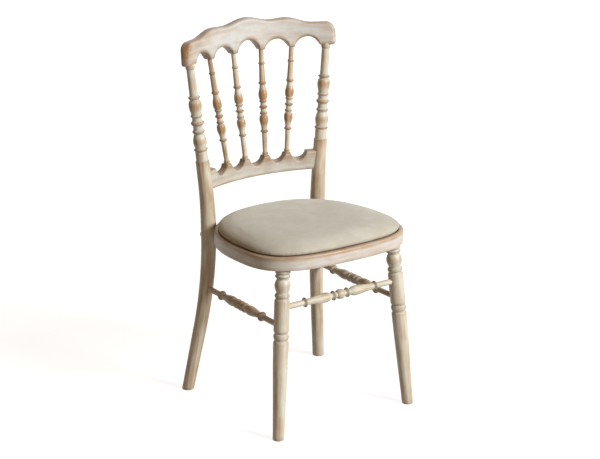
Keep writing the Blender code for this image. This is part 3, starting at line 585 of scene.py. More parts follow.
def turned_points(moves):
    """Points (distance, radius) of a turned outline."""
    points = []
    for kind, reach, diameter, *widest in moves:
        radius = diameter / 2
        if kind == "to":
            points.append((reach, radius))
            continue
        start, first = points[-1]
        for i in range(1, MOVE_STEPS + 1):
            t = i / MOVE_STEPS
            bend = pi / 2 * t
            blend = (1 - cos(pi * t)) / 2
            along = t
            size = first + (radius - first) * blend
            if kind == "bead":
                size += max(widest[0] / 2 - size, 0) * sin(pi * t) ** BEAD_POWER
            elif kind == "ball":
                along = blend
                size += max(widest[0] / 2 - size, 0) * sin(pi * t)
            elif kind in ("rise", "swell"):
                size = first + (radius - first) * sin(bend)
            elif kind in ("fall", "shoulder"):
                size = radius + (first - radius) * cos(bend)
            if kind == "swell":
                along = 1 - cos(bend)
            elif kind == "shoulder":
                along = sin(bend)
            points.append((start + (reach - start) * along, size))
    return points


def straight(start, end):
    start = np.asarray(start, float)
    way = unit(np.asarray(end, float) - start)
    return lambda reach: (start + way * reach, way)


def relief_of(radii, look):
    """How far a turned outline stands proud, lies hollow and has edges or grooves, from 0 to 1. Edges
    darken as grime, grooves as grime with painted shade.
    """
    broad = radii - smoothed(radii, STEP, BROAD)
    edge = np.clip((radii - smoothed(radii, STEP, NARROW)) / EDGE_DEPTH, 0, 1)
    # Grooves are darkened as grime and as painted shade in the recess.
    groove = np.clip((smoothed(radii, STEP, GROOVE) - radii) / GROOVE_DEPTH, 0, 1)
    proud = np.clip(broad / PROUD_DEPTH, 0, 1) * (1 - EDGE_KEEPS * edge) * look.rubbed
    hollow = np.clip(-broad / HOLLOW_DEPTH, 0, 1) * (1 - groove) * look.limed
    return np.stack([proud, hollow, np.maximum(EDGE_DARK * edge, GROOVE_DARK * groove)], 1)


def wood_values(grain, relief, wash, tone):
    """What the wood's shader reads at each point of a piece."""
    grain = np.reshape(grain, (-1, 3))
    count = len(grain)
    return {"grain": grain, "relief": np.reshape(relief, (-1, 3)), "wash": np.broadcast_to(wash, count),
            "tone": np.full(count, tone)}


def turned_piece(name, path, points, finish, look, wash_at=None, cut_first=None, cut_last=None):
    """Turn an outline about a path. A cut flattens an end to a height, with a small chamfer."""
    points = np.array(points)
    reach = np.arange(points[0, 0], points[-1, 0] + STEP / 2, STEP)
    radii = smoothed(np.interp(reach, points[:, 0], points[:, 1]), STEP, TURN_EASE)
    relief = relief_of(radii, look)
    bend = np.abs(np.gradient(np.gradient(radii, STEP), STEP))
    last = len(reach) - 1
    kept = []
    for i in range(len(reach)):
        if cut_first is not None and 0 < i and reach[i] - reach[0] < FOOT_CLEAR:
            continue
        if cut_last is not None and i < last and reach[-1] - reach[i] < FOOT_CLEAR:
            continue
        if i in (0, last) or bend[i] > SHARP_BEND or reach[i] - reach[kept[-1]] > LONGEST_STEP:
            kept.append(i)
    rows = []
    grain = []
    marks = []
    turns = np.linspace(0, 2 * pi, SIDES, endpoint=False)
    offset = random.uniform(0, SEED_SPREAD)

    def add_row(i, radius, level=None):
        centre, way = path(reach[i])
        guide = np.array((0.0, 1.0, 0.0)) if abs(way[0]) > MOSTLY_SIDEWAYS else np.array((1.0, 0.0, 0.0))
        across = unit(guide - way * guide.dot(way))
        up = np.cross(way, across)
        loop = centre + radius * (np.outer(np.cos(turns), across) + np.outer(np.sin(turns), up))
        if level is not None:
            loop = loop + np.outer((level - loop[:, 2]) / way[2], way)
        rows.append(loop)
        local = np.stack([np.full(SIDES, reach[i]), radius * np.cos(turns), radius * np.sin(turns)], 1)
        grain.append(local + offset)
        marks.append(np.tile(relief[i], (SIDES, 1)))

    for i in kept:
        if i == 0 and cut_first is not None:
            add_row(i, radii[i] - FOOT_CHAMFER, cut_first)
            add_row(i, radii[i], cut_first + FOOT_CHAMFER)
        elif i == last and cut_last is not None:
            add_row(i, radii[i], cut_last + FOOT_CHAMFER)
            add_row(i, radii[i] - FOOT_CHAMFER, cut_last)
        else:
            add_row(i, radii[i])
    wash = look.wash
    if wash_at:
        wash = np.interp(np.concatenate(grain)[:, 0] - offset, wash_at, look.wash)
    values = wood_values(grain, marks, wash, look.tone)
    return add_mesh(name, np.concatenate(rows), grid_faces(len(rows), SIDES), finish, values)


def seat_point(turn):
    """A point of the ring's outer edge, and the outward normal there, by its turn from +X."""
    across = cos(turn)
    along = sin(turn)
    behind = along > 0
    depth = SEAT_BACK - SEAT_WIDEST if behind else SEAT_WIDEST - SEAT_FRONT
    square = SEAT_BACK_SQUARENESS if behind else SEAT_FRONT_SQUARENESS
    u = copysign(abs(across) ** (2 / square), across)
    v = copysign(abs(along) ** (2 / square), along)
    lean_x = copysign(abs(u) ** (square - 1), u) / SEAT_HALF_WIDTH
    lean_y = copysign(abs(v) ** (square - 1), v) / depth
    length = hypot(lean_x, lean_y)
    return (SEAT_HALF_WIDTH * u, SEAT_WIDEST + depth * v), (lean_x / length, lean_y / length)


def beside_seat(turn, out):
    """A point at a distance outside the ring's outer edge."""
    return [place + way * out for place, way in zip(*seat_point(turn))]


def seat_drop(y):
    return SEAT_SLOPE * (y - SEAT_FRONT)


def seat_loop(inset, height, count):
    """Evenly spaced points inside the ring's outer edge, from the back round, on the sloping seat."""
    turns = 2 * pi * np.arange(OUTLINE_SAMPLES + 1) / OUTLINE_SAMPLES + pi / 2
    dense = np.array([beside_seat(turn, -inset) for turn in turns])
    runs = np.concatenate([[0], np.cumsum(np.linalg.norm(np.diff(dense, axis=0), axis=1))])
    wanted = runs[-1] * np.arange(count) / count
    x = np.interp(wanted, runs, dense[:, 0])
    y = np.interp(wanted, runs, dense[:, 1])
    return np.stack([x, y, height - seat_drop(y)], 1), wanted


def front_leg_line(side):
    x, y = beside_seat(FRONT_LEG_TURN, -FRONT_LEG_INSET)
    top = np.array((side * x, y, RING_BOTTOM - seat_drop(y)))
    return top, top + np.array((side * FRONT_SPLAY, -FRONT_RAKE, -1)) * top[2]


def front_leg_centre(side, height):
    top, foot = front_leg_line(side)
    return top + (foot - top) * (top[2] - height) / top[2]


def bent_travel(height, low, high):
    """Sideways travel up to a height: straight at one slope, bent, straight at another."""
    length = REAR_BEND_HIGH - REAR_BEND_LOW
    bend = min(max(height - REAR_BEND_LOW, 0), length)
    past = max(height - REAR_BEND_HIGH, 0)
    below = min(height, REAR_BEND_LOW) + bend
    return low * below + (high - low) * bend ** 2 / (2 * length) + high * past


def rear_leg_centre(side, height):
    x, y = beside_seat(REAR_LEG_TURN, REAR_SEAT_DIAMETER / 2 - SADDLE_DEPTH)
    seat = RING_MIDDLE - seat_drop(y)
    x += bent_travel(height, REAR_FOOT_SPLAY, POST_SPLAY) - bent_travel(seat, REAR_FOOT_SPLAY, POST_SPLAY)
    y += bent_travel(height, REAR_FOOT_RAKE, POST_RAKE) - bent_travel(seat, REAR_FOOT_RAKE, POST_RAKE)
    return np.array((side * x, y, height))


def rear_leg_path(side):
    def place(height):
        way = rear_leg_centre(side, height + STEP) - rear_leg_centre(side, height - STEP)
        return rear_leg_centre(side, height), unit(way)

    return place


def rear_leg_radius(height):
    return float(np.interp(height, *zip(*REAR_LEG_TAPER)))


def bowed_arc(end, bow):
    """Centre and radius of the plan arc through two mirrored ends, bowed back in the middle."""
    radius = (end[0] ** 2 + bow ** 2) / (2 * bow)
    return end[1] + bow - radius, radius


def crest_arc():
    return bowed_arc(rear_leg_centre(1, CREST_BOTTOM), CREST_BOW)


def rail_arc():
    return bowed_arc(rear_leg_centre(1, RAIL_BOTTOM + RAIL_HEIGHT / 2), RAIL_BOW)


def arc_place(arc, run, outward, height):
    centre, radius = arc
    turn = run / radius
    reach = radius + outward
    return np.stack(np.broadcast_arrays(reach * np.sin(turn), centre + reach * np.cos(turn), height), -1)


def arc_run(arc, x):
    return arc[1] * asin(x / arc[1])


def spindle_ends(index):
    step = index - (SPINDLES - 1) / 2
    foot = arc_place(rail_arc(), step * RAIL_PITCH, 0, RAIL_TOP)
    head = arc_place(crest_arc(), step * CREST_PITCH, 0, NOSE_BOTTOM)
    return foot, head


def scallops(pitch, flat, block_run, block_flat):
    """Gaps between the flats at each spindle and at the end blocks, as (start, end) runs."""
    edges = [-block_run + block_flat / 2]
    for i in range(SPINDLES):
        mark = (i - (SPINDLES - 1) / 2) * pitch
        edges += [mark - flat / 2, mark + flat / 2]
    edges.append(block_run - block_flat / 2)
    return list(zip(edges[0::2], edges[1::2]))


def scallop_lines(gaps, rises, first, last, squareness, wider=0.0, deeper=0.0):
    """Two edges of the same scallops from one run to another, with their corners eased: one about
    as square as half ellipses, and one of parabolas that may be wider and deeper."""
    line = [(first, 0.0, first, 0.0)]
    for (start, end), rise in zip(gaps, rises):
        middle = (start + end) / 2
        half = (end - start) / 2
        for i in range(ARCH_STEPS + 1):
            t = pi * i / ARCH_STEPS
            line.append((middle - half * cos(t), rise * max(sin(t), 0) ** (2 / squareness),
                         middle - (half + wider) * cos(t), (rise + deeper) * sin(t) ** 2))
    line.append((last, 0.0, last, 0.0))
    line = np.array(line)
    lengths = np.concatenate([[0], np.cumsum(np.linalg.norm(np.diff(line[:, :2], axis=0), axis=1))])
    even = np.arange(0, lengths[-1], RAIL_STEP)
    eased = [smoothed(np.interp(even, lengths, values), RAIL_STEP, CORNER_EASE) for values in line.T]
    return np.stack(eased[:2], 1), np.stack(eased[2:], 1)


def rail_piece(name, arc, lows, highs, halves, rounds, finish, look, wear_and_shade, brown, low_wear=0.0,
               setback=0.0, rake=0.0):
    """A bowed rail from its lower and upper edge lines, each for the front and the back, with its edges
    rounded. The wear and shade, and the brown, say along the rail how far its faces and its upper edge are
    rubbed through; on the crest the wear and shade also holds painted shade that darkens its left end. Low
    wear is the share of the first that reaches the bottom of the faces."""
    tip = np.outer(1 - halves / halves.max(), (1, 1, 1))
    offset = random.uniform(0, SEED_SPREAD)
    bends = np.linspace(0, pi / 2, ROUND_STEPS + 1)
    crown = np.outer(brown, CROWN_MARKS)
    rubbed = np.outer(wear_and_shade, WEAR_AND_SHADE_MARKS)

    def rounded(line, inward, radius, bend, side):
        size = np.minimum(radius, halves * ROUND_LIMIT)
        out = side * (halves - size + size * sin(bend))
        return line + np.outer(size * (1 - cos(bend)), (0, inward)), out

    columns = []
    for side, low, high, round_low, round_high in zip((1, -1), lows[::-1], highs[::-1], *rounds):
        strip = []
        for k, bend in enumerate(bends):
            marks = UNDER_MARKS if k == 0 else LOW_EDGE_MARKS
            strip.append((*rounded(low, 1, round_low, bend, side), marks))
        foot = strip[-1][0]
        head = rounded(high, -1, round_high, bends[-1], side)[0]
        for share in FACE_SHARES:
            base = max(1 - share / LOW_FACE_REACH, 0) * LOW_FACE_MARKS
            near_top = max(share - HIGH_FACE_START, 0) ** 2 * HIGH_FACE_GAIN
            wear = low_wear + (1 - low_wear) * share
            upper = (tip * share ** END_FADE + near_top) * crown * (1, 1, FACE_DARK)
            strip.append((foot * (1 - share) + head * share, side * halves, base + wear * rubbed + upper))
        for k, bend in enumerate(bends[::-1]):
            ease = max(k / ROUND_STEPS, CROWN_LEAST)
            strip.append((*rounded(high, -1, round_high, bend, side), ease * crown + rubbed))
        columns += strip if side > 0 else strip[::-1]
    rows = len(halves)
    places = np.zeros((rows, len(columns), 3))
    grain = np.zeros_like(places)
    relief = np.zeros_like(places)
    for j, (point, out, marks) in enumerate(columns):
        lean = out + setback + rake * (point[:, 1] - CREST_BOTTOM)
        places[:, j] = arc_place(arc, point[:, 0], lean, point[:, 1])
        grain[:, j] = np.stack([point[:, 0], point[:, 1], out], 1) + offset
        relief[:, j] = marks
    values = wood_values(grain, relief, look.wash, look.tone)
    return add_mesh(name, places.reshape(-1, 3), grid_faces(rows, len(columns)), finish, values)


def crest_height(run, end):
    """Height of the crest's top edge over its bottom: waves with rounded ends."""
    run = abs(run)
    height = CREST_TOP[-1][1]
    for (start, first), (stop, last) in zip(CREST_TOP, CREST_TOP[1:]):
        if run <= stop:
            height = first + (last - first) * (1 - cos(pi * (run - start) / (stop - start))) / 2
            break
    past = max(run - (end - CREST_END_ROUND), 0) / CREST_END_ROUND
    return height - CREST_END_DROP * (1 - sqrt(max(1 - past ** 2, 0)))


def make_crest(finish):
    arc = crest_arc()
    post_run = arc_run(arc, rear_leg_centre(1, CREST_BOTTOM)[0])
    end = post_run + CREST_OVERHANG
    gaps = scallops(CREST_PITCH, CREST_NOSE_FLAT, post_run, CREST_BLOCK_FLAT)
    rises = [CREST_ARCH_RISE] * len(gaps)
    rises[len(gaps) // 2] = CREST_MIDDLE_RISE
    arch_start, arch_end = gaps[-1]
    arches = scallop_lines(gaps, rises, -post_run, post_run, CREST_ARCH_SQUARENESS)
    half = CREST_THICKNESS / 2
    bend = np.linspace(0, pi / 2, END_STEPS)[1:-1]
    block = np.append(np.linspace(post_run, end - half, END_STEPS // 3)[1:],
                      end - half + half * np.sin(bend) ** (2 / CREST_END_SQUARENESS))
    flat = np.stack([block, np.zeros_like(block)], 1)
    arches = [np.concatenate([flat[::-1] * (-1, 1), line, flat]) for line in arches]
    run = arches[0][:, 0]
    drop = np.clip((arch_end - np.abs(run)) / (arch_end - arch_start), 0, 1)
    turn = np.clip(np.abs(run) - (end - CREST_END_CORNER), 0, None) / CREST_END_CORNER
    lift = CREST_END_CORNER * (1 - np.sqrt(np.maximum(1 - turn ** 2, 0)))
    level = CREST_BOTTOM - CREST_NOSE_DROP * drop + lift
    lows = [np.stack([run, level + line[:, 1]], 1) for line in arches]
    high = np.stack([run, [CREST_BOTTOM + crest_height(place, end) for place in run]], 1)
    past = np.clip(np.abs(run) - (end - half), 0, None) / half
    halves = half * np.maximum(1 - past ** CREST_END_SQUARENESS, TINY) ** (1 / CREST_END_SQUARENESS)
    marks = (-end, -post_run, -CREST_PITCH, CREST_PITCH, end)
    # Partly wear and partly painted shade: the crest is rubbed through, and so darkened, far more at its
    # left end than at its right.
    wear = (CREST_LEFT_WEAR_AND_SHADE, CREST_LEFT_WEAR_AND_SHADE * CREST_POST_WEAR, 0, 0, CREST_RIGHT_WEAR)
    wear_and_shade = np.interp(run, marks, wear)
    brown = np.full(len(run), CREST_BROWN)
    rounds = ((CREST_EDGE, CREST_FRONT_ROUND), (CREST_TOP_ROUND, CREST_TOP_ROUND))
    return rail_piece("crest_rail_fine", arc, lows, (high, high), halves, rounds, finish, CREST_LOOK,
                      wear_and_shade, brown, CREST_LOW_WEAR, CREST_SETBACK, POST_RAKE)


def make_lower_rail(finish):
    arc = rail_arc()
    leg_run = arc_run(arc, rear_leg_centre(1, RAIL_BOTTOM + RAIL_HEIGHT / 2)[0])
    block_run = leg_run - RAIL_BLOCK_FLAT / 2
    gaps = scallops(RAIL_PITCH, RAIL_PEAK_FLAT, block_run, RAIL_BLOCK_FLAT)
    rises = [RAIL_SCALLOP] * len(gaps)
    back, front = scallop_lines(gaps, rises, -leg_run, leg_run, 2, RAIL_FLARE, RAIL_SCOOP)
    highs = [np.stack([line[:, 0], RAIL_TOP - line[:, 1]], 1) for line in (front, back)]
    lows = [np.stack([line[:, 0], np.full(len(line), RAIL_BOTTOM)], 1) for line in (front, back)]
    halves = np.full(len(front), RAIL_THICKNESS / 2)
    peak = 1 - np.clip(front[:, 1] / (RAIL_SCALLOP + RAIL_SCOOP), 0, 1)
    inner = np.abs(front[:, 0]) < block_run - RAIL_BLOCK_FLAT / 2
    wear_and_shade = RAIL_PEAK_WEAR * peak ** 2 * inner
    brown = RAIL_DIP_BROWN + (1 - RAIL_DIP_BROWN) * peak
    rounds = ((RAIL_EDGE, RAIL_EDGE), (RAIL_EDGE, RAIL_FRONT_ROUND))
    return rail_piece("lower_back_rail_fine", arc, lows, highs, halves, rounds, finish, RAIL_LOOK,
                      wear_and_shade, brown)


def make_spindle(index, finish):
    foot, head = spindle_ends(index)
    length = float(np.linalg.norm(head - foot))
    neck = SPINDLE_NECK_DIAMETER / 2
    body = turned_points(SPINDLE_TURNING)
    points = [(-SPINDLE_SUNK, body[0][1])] + body + [(length, neck), (length + SPINDLE_SUNK, neck)]
    name = "back_spindle_%d_fine" % (index + 1)
    return turned_piece(name, straight(foot, head), points, finish, SPINDLE_LOOKS[index])


def make_rear_leg(side, name, finish):
    points = list(REAR_LEG_TAPER)
    points += [(POST_SHOULDER + rise, radius) for rise, radius in turned_points(POST_TURNING)]
    collar = CREST_BOTTOM - POST_COLLAR_HEIGHT
    ease = (POST_COLLAR_DIAMETER - POST_NECK_DIAMETER) / 2
    points += [(collar - ease, POST_NECK_DIAMETER / 2), (collar, POST_COLLAR_DIAMETER / 2),
               (CREST_BOTTOM + POST_COLLAR_HEIGHT / 2, POST_COLLAR_DIAMETER / 2)]
    look = REAR_LEFT_LOOK if side < 0 else REAR_RIGHT_LOOK
    return turned_piece(name, rear_leg_path(side), points, finish, look, REAR_WASH_AT, cut_first=0.0)


def make_front_leg(side, name, finish):
    top, foot = front_leg_line(side)
    length = float(np.linalg.norm(foot - top))
    body = turned_points(FRONT_LEG_TURNING)
    points = [(-FRONT_LEG_SUNK, body[0][1])] + body + [(length, FRONT_FOOT_DIAMETER / 2)]
    wash_at = (0, length / 2, length)
    return turned_piece(name, straight(top, foot), points, finish, FRONT_LEG_LOOK, wash_at, cut_last=0.0)


def make_stretcher(name, start, end, end_face, turning, shift, finish, look):
    """A turning from a front leg to another leg, mirrored about its middle, which may be shifted."""
    way = unit(end - start)
    start = start + way * (FRONT_LEG_FACE - STRETCHER_TENON)
    end = end - way * (end_face - STRETCHER_TENON)
    length = float(np.linalg.norm(end - start))
    middle = length / 2 + shift
    half = turned_points(turning)
    neck = STRETCHER_NECK_DIAMETER / 2
    points = [(0, neck)] + [(middle - reach, radius) for reach, radius in reversed(half)]
    points += [(middle + reach, radius) for reach, radius in half[1:]] + [(length, neck)]
    return turned_piece(name, straight(start, end), points, finish, look)


def make_side_stretcher(side, name, finish):
    front = front_leg_centre(side, SIDE_STRETCHER_HEIGHT)
    rear = rear_leg_centre(side, SIDE_STRETCHER_HEIGHT)
    return make_stretcher(name, front, rear, rear_leg_radius(SIDE_STRETCHER_HEIGHT),
                          SIDE_STRETCHER_TURNING, SIDE_STRETCHER_SHIFT, finish, SIDE_STRETCHER_LOOK)


def make_front_stretcher(finish):
    left, right = [front_leg_centre(side, FRONT_STRETCHER_HEIGHT) for side in (-1, 1)]
    return make_stretcher("front_stretcher_fine", left, right, FRONT_LEG_FACE, FRONT_STRETCHER_TURNING, 0,
                          finish, FRONT_STRETCHER_LOOK)


def rounded_section(corners):
    """A closed section with rounded corners, from (inset, height, radius, proud, edge) corners."""
    points = []
    marks = []
    for i, (inset, height, radius, proud, edge) in enumerate(corners):
        here = np.array((inset, height))
        before = np.array(corners[i - 1][:2]) - here
        after = np.array(corners[(i + 1) % len(corners)][:2]) - here
        start = here + unit(before) * radius
        stop = here + unit(after) * radius
        for t in np.linspace(0, 1, ROUND_STEPS + 2) if radius else (0,):
            points.append((1 - t) ** 2 * start + 2 * t * (1 - t) * here + t ** 2 * stop)
            marks.append((proud, 0.0, edge))
    return np.array(points), np.array(marks)


def make_ring(finish):
    """The ring, with the wash rubbed along its upper edge and clean on the middle of its outside, and its
    inner lip darkened as painted shade of the gap beside the pad.
    """
    corners = (
        (0, RING_BOTTOM, RING_BOTTOM_ROUND, 0.25, 0.3),
        (0, RING_BOTTOM + RING_HEIGHT * RING_CLEAN_LOW, 0, 0.0, 0.0),
        (0, RING_TOP - RING_HEIGHT * RING_CLEAN_HIGH, 0, 0.08, 0.0),
        # The lip is rubbed, which is wear, and darkened, which is painted shade of the gap beside the pad.
        (0, RING_TOP, RING_TOP_ROUND, 0.78, 0.14), (RING_LIP, RING_TOP, RING_LIP_ROUND, 0.90, 0.7),
        (RING_LIP, LEDGE, 0, 0.6, 0.0), (RING_WIDTH, LEDGE, 0, 0.4, 0.0),
        (RING_WIDTH, RING_BOTTOM, RING_BOTTOM_ROUND, 0.3, 0.3),
    )
    section, marks = rounded_section(corners)
    loops = [seat_loop(inset, height, RING_SEGMENTS) for inset, height in section]
    run = loops[0][1]
    run = np.append(run, run[-1] + run[1])
    columns = np.stack([np.concatenate([loop, loop[:1]]) for loop, _ in loops], 1)
    rows, count = columns.shape[:2]
    grain = np.zeros_like(columns)
    grain[:, :, 0] = run[:, None]
    grain[:, :, 1] = section[:, 1]
    grain[:, :, 2] = section[:, 0]
    relief = np.broadcast_to(marks, (rows, count, 3))
    values = wood_values(grain, relief, RING_LOOK.wash, RING_LOOK.tone)
    faces = grid_faces(rows, count, caps=False)
    return add_mesh("seat_ring_fine", columns.reshape(-1, 3), faces, finish, values)


def make_bolt(side, name, finish):
    """A domed head with a hexagon socket, seated in the back of the rear leg."""
    point, normal = seat_point(REAR_LEG_TURN)
    centre = rear_leg_centre(side, RING_BOTTOM + BOLT_RISE - seat_drop(point[1]))
    out = np.array((side * normal[0], normal[1], 0.0))
    base = centre + out * (REAR_SEAT_DIAMETER / 2 - BOLT_SPOT_DEPTH)
    across = np.array((-out[1], out[0], 0.0))
    up = np.array((0.0, 0.0, 1.0))
    turns = np.linspace(0, 2 * pi, BOLT_SIDES, endpoint=False)
    circle = np.ones(BOLT_SIDES)
    sixth = pi / 3
    hexagon = 1 / np.cos((turns + sixth / 2) % sixth - sixth / 2)
    head = BOLT_HEAD_DIAMETER / 2
    key = BOLT_KEY_WIDTH / 2
    dome = acos(key * BOLT_RIM_SHARE / head)
    top = BOLT_HEAD_HEIGHT
    rows = [(-BOLT_SPOT_DEPTH, head, circle), (top * BOLT_SIDE_SHARE, head, circle)]
    for t in np.linspace(0, 1, BOLT_DOME_STEPS)[1:]:
        rise = BOLT_SIDE_SHARE + (1 - BOLT_SIDE_SHARE) * sin(dome * t) / sin(dome)
        rows.append((top * rise, head * cos(dome * t), circle))
    rows += [(top, key * BOLT_KEY_MOUTH, hexagon), (top - key * BOLT_KEY_CHAMFER, key, hexagon),
             (top - BOLT_KEY_DEPTH, key, hexagon)]
    spokes = np.outer(np.cos(turns), across) + np.outer(np.sin(turns), up)
    loops = [base + out * level + radius * shape[:, None] * spokes for level, radius, shape in rows]
    return add_mesh(name, np.concatenate(loops), grid_faces(len(loops), BOLT_SIDES), finish)


def pad_loop(inset, height, count=PAD_POINTS):
    return seat_loop(RING_LIP + PAD_GAP + inset, height, count)[0]


def dome_loops(shrink):
    """Loops of the crowned pad, drawn in by a length, from its edge to its middle."""
    edge = RING_TOP + PAD_EDGE_HEIGHT
    crown = RING_TOP + PAD_CROWN - shrink
    rim = pad_loop(shrink * RIM_SHARE - PAD_BULGE, edge)
    middle = np.array((0.0, PAD_CROWN_PLACE))
    loops = []
    for i in range(PAD_RINGS):
        share = cos(pi / 2 * i / PAD_RINGS) ** PAD_RING_POWER
        height = edge + (crown - edge) * sqrt(1 - share ** PAD_FLATNESS)
        flat = middle + (rim[:, :2] - middle) * share
        loops.append(np.column_stack([flat, height - seat_drop(flat[:, 1])]))
    return loops


def pad_form(shrink):
    """The closed pad before it is filled: its skirt, its dome and a flat underside."""
    low = HEM_TOP + BOARD_THICKNESS / 2
    high = RING_TOP - SKIRT_DROP
    inset = shrink * SKIRT_SHARE
    loops = [pad_loop(inset + SKIRT_TUCK, low), pad_loop(inset, (low + high) / 2),
             pad_loop(shrink * SKIRT_TOP_SHARE, high), *dome_loops(shrink)]
    return np.concatenate(loops), grid_faces(len(loops), len(loops[0]))


def fill_pad(piece, most):
    """Blow the cover up from inside with cloth, held at its skirt, and cap how far it moves."""
    mesh = piece.data
    start = np.array([v.co for v in mesh.vertices])
    rise = start[:, 2] + seat_drop(start[:, 1]) - RING_TOP
    held = piece.vertex_groups.new(name="held")
    for i in np.nonzero(rise < 0.0)[0]:
        held.add([int(i)], 1.0, "REPLACE")
    cloth = piece.modifiers.new("fill", "CLOTH")
    for key, value in CLOTH_SETTINGS.items():
        setattr(cloth.settings, key, value)
    cloth.settings.vertex_group_mass = "held"
    cloth.settings.effector_weights.gravity = 0.0
    scene = bpy.context.scene
    scene.frame_start = 1
    scene.frame_end = CLOTH_FRAMES
    for number in range(1, CLOTH_FRAMES + 1):
        scene.frame_set(number)
    shaped = piece.evaluated_get(bpy.context.evaluated_depsgraph_get()).to_mesh()
    moved = np.array([v.co for v in shaped.vertices]) - start
    piece.modifiers.remove(cloth)
    scene.frame_set(1)
    normals = np.array([v.normal for v in mesh.vertices])
    swell = np.clip((moved * normals).sum(1), 0, most)
    edges = np.array([e.vertices for e in mesh.edges])
    even = swell
    for _ in range(EVEN_PASSES):
        total = np.bincount(edges[:, 0], even[edges[:, 1]], len(even))
        total += np.bincount(edges[:, 1], even[edges[:, 0]], len(even))
        even = total / np.bincount(edges.ravel(), minlength=len(even))
        even[rise < 0] = 0
    swell = even + (swell - even) * WRINKLE_SHARE
    mesh.vertices.foreach_set("co", (start + normals * swell[:, None]).astype(np.float32).ravel())
    mesh.update()


def make_pad(finish):
    """The cover over its filling. Rim marks it for the painted shade on its lower rim and in the gap at its
    foot, which the hem goes without.
    """
    points, faces = pad_form(PAD_SWELL)
    piece = add_mesh("pad_cover_soft", points, faces, finish)
    remesh = piece.modifiers.new("even", "REMESH")
    remesh.mode = "VOXEL"
    remesh.voxel_size = PAD_VOXEL
    even = bpy.data.meshes.new_from_object(piece.evaluated_get(bpy.context.evaluated_depsgraph_get()))
    piece.modifiers.remove(remesh)
    piece.data = even
    fill_pad(piece, PAD_SWELL)
    even.materials.clear()
    even.materials.append(finish)
    even.shade_smooth()
    relax = piece.modifiers.new("relax", "SMOOTH")
    relax.iterations = 2
    fine = piece.modifiers.new("fine", "SUBSURF")
    fine.levels = 1
    fine.render_levels = 1
    rim = piece.data.attributes.new("rim", "FLOAT", "POINT")
    rim.data.foreach_set("value", np.ones(len(piece.data.vertices), np.float32))
    return piece


def make_board(finish):
    low = HEM_TOP + FIT
    clear = COVER_THICKNESS + FIT
    high = low + BOARD_THICKNESS
    loops = [pad_loop(clear + BOARD_EASE, low), pad_loop(clear, low + BOARD_EASE),
             pad_loop(clear, high - BOARD_EASE), pad_loop(clear + BOARD_EASE, high)]
    faces = grid_faces(len(loops), PAD_POINTS)
    return add_mesh("pad_board_fine", np.concatenate(loops), faces, finish)


def make_hem(finish):
    """The cover's edge, turned under the board in small pleats."""
    turn = 2 * pi * np.arange(PAD_POINTS) / PAD_POINTS * HEM_PLEATS
    pleat = np.sin(turn) + PLEAT_MIX * np.sin(turn * PLEAT_RATIO + 1)
    middle = HEM_TOP + BOARD_THICKNESS / 2
    clear = COVER_THICKNESS + FIT / 2
    section = ((0.0, middle, 0), (HEM_ROUND_TUCK, HEM_BOTTOM + HEM_ROUND, 0),
               (HEM_ROUND, HEM_BOTTOM + HEM_ROUND_TUCK, 0), (COVER_HEM / 2, HEM_BOTTOM, 0.5),
               (COVER_HEM, HEM_BOTTOM, 1), (COVER_HEM, HEM_TOP, 1), (COVER_HEM / 2, HEM_TOP, 0),
               (clear, HEM_TOP, 0), (clear, middle, 0))
    columns = []
    for inset, height, share in section:
        loop = pad_loop(inset, height)
        inner = pad_loop(inset + PLEAT_DEPTH, height)
        columns.append(loop + (inner - loop) * (share * pleat)[:, None])
    faces = grid_faces(PAD_POINTS, len(section), wrap_rows=True)
    return add_mesh("pad_hem", np.stack(columns, 1).reshape(-1, 3), faces, finish)


def make_staples(finish):
    """Staples that hold the hem to the board, pressed into the cloth."""
    line = pad_loop(COVER_HEM * STAPLE_PLACE, HEM_BOTTOM + STAPLE_WIRE, STAPLES)
    turns = 2 * pi * np.arange(STAPLE_SIDES) / STAPLE_SIDES
    points = []
    faces = []
    for i, centre in enumerate(line):
        way = line[(i + 1) % STAPLES] - line[i - 1]
        angle = atan2(way[1], way[0]) + random.uniform(-STAPLE_TURN, STAPLE_TURN)
        along = np.array((cos(angle), sin(angle), 0.0))
        across = np.array((-along[1], along[0], 0.0))
        centre = centre + across * random.uniform(-STAPLE_STRAY, STAPLE_STRAY)
        base = len(points)
        for reach, swell in STAPLE_ENDS:
            for t in turns:
                side = across * cos(t) * STAPLE_WIRE * STAPLE_WIDTH * swell
                rise = np.array((0, 0, sin(t) * STAPLE_WIRE * STAPLE_HEIGHT * swell))
                points.append(centre + along * STAPLE_LENGTH * reach + side + rise)
        for face in grid_faces(len(STAPLE_ENDS), STAPLE_SIDES):
            faces.append(tuple(base + k for k in face))
    return add_mesh("pad_staples", points, faces, finish)


def show(piece, body, slot, *nodes):
    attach(piece, body)
    if nodes:
        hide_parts(*nodes)


def show_wood(piece, replaced):
    show(piece, "frame", "limewashed_beech", replaced)


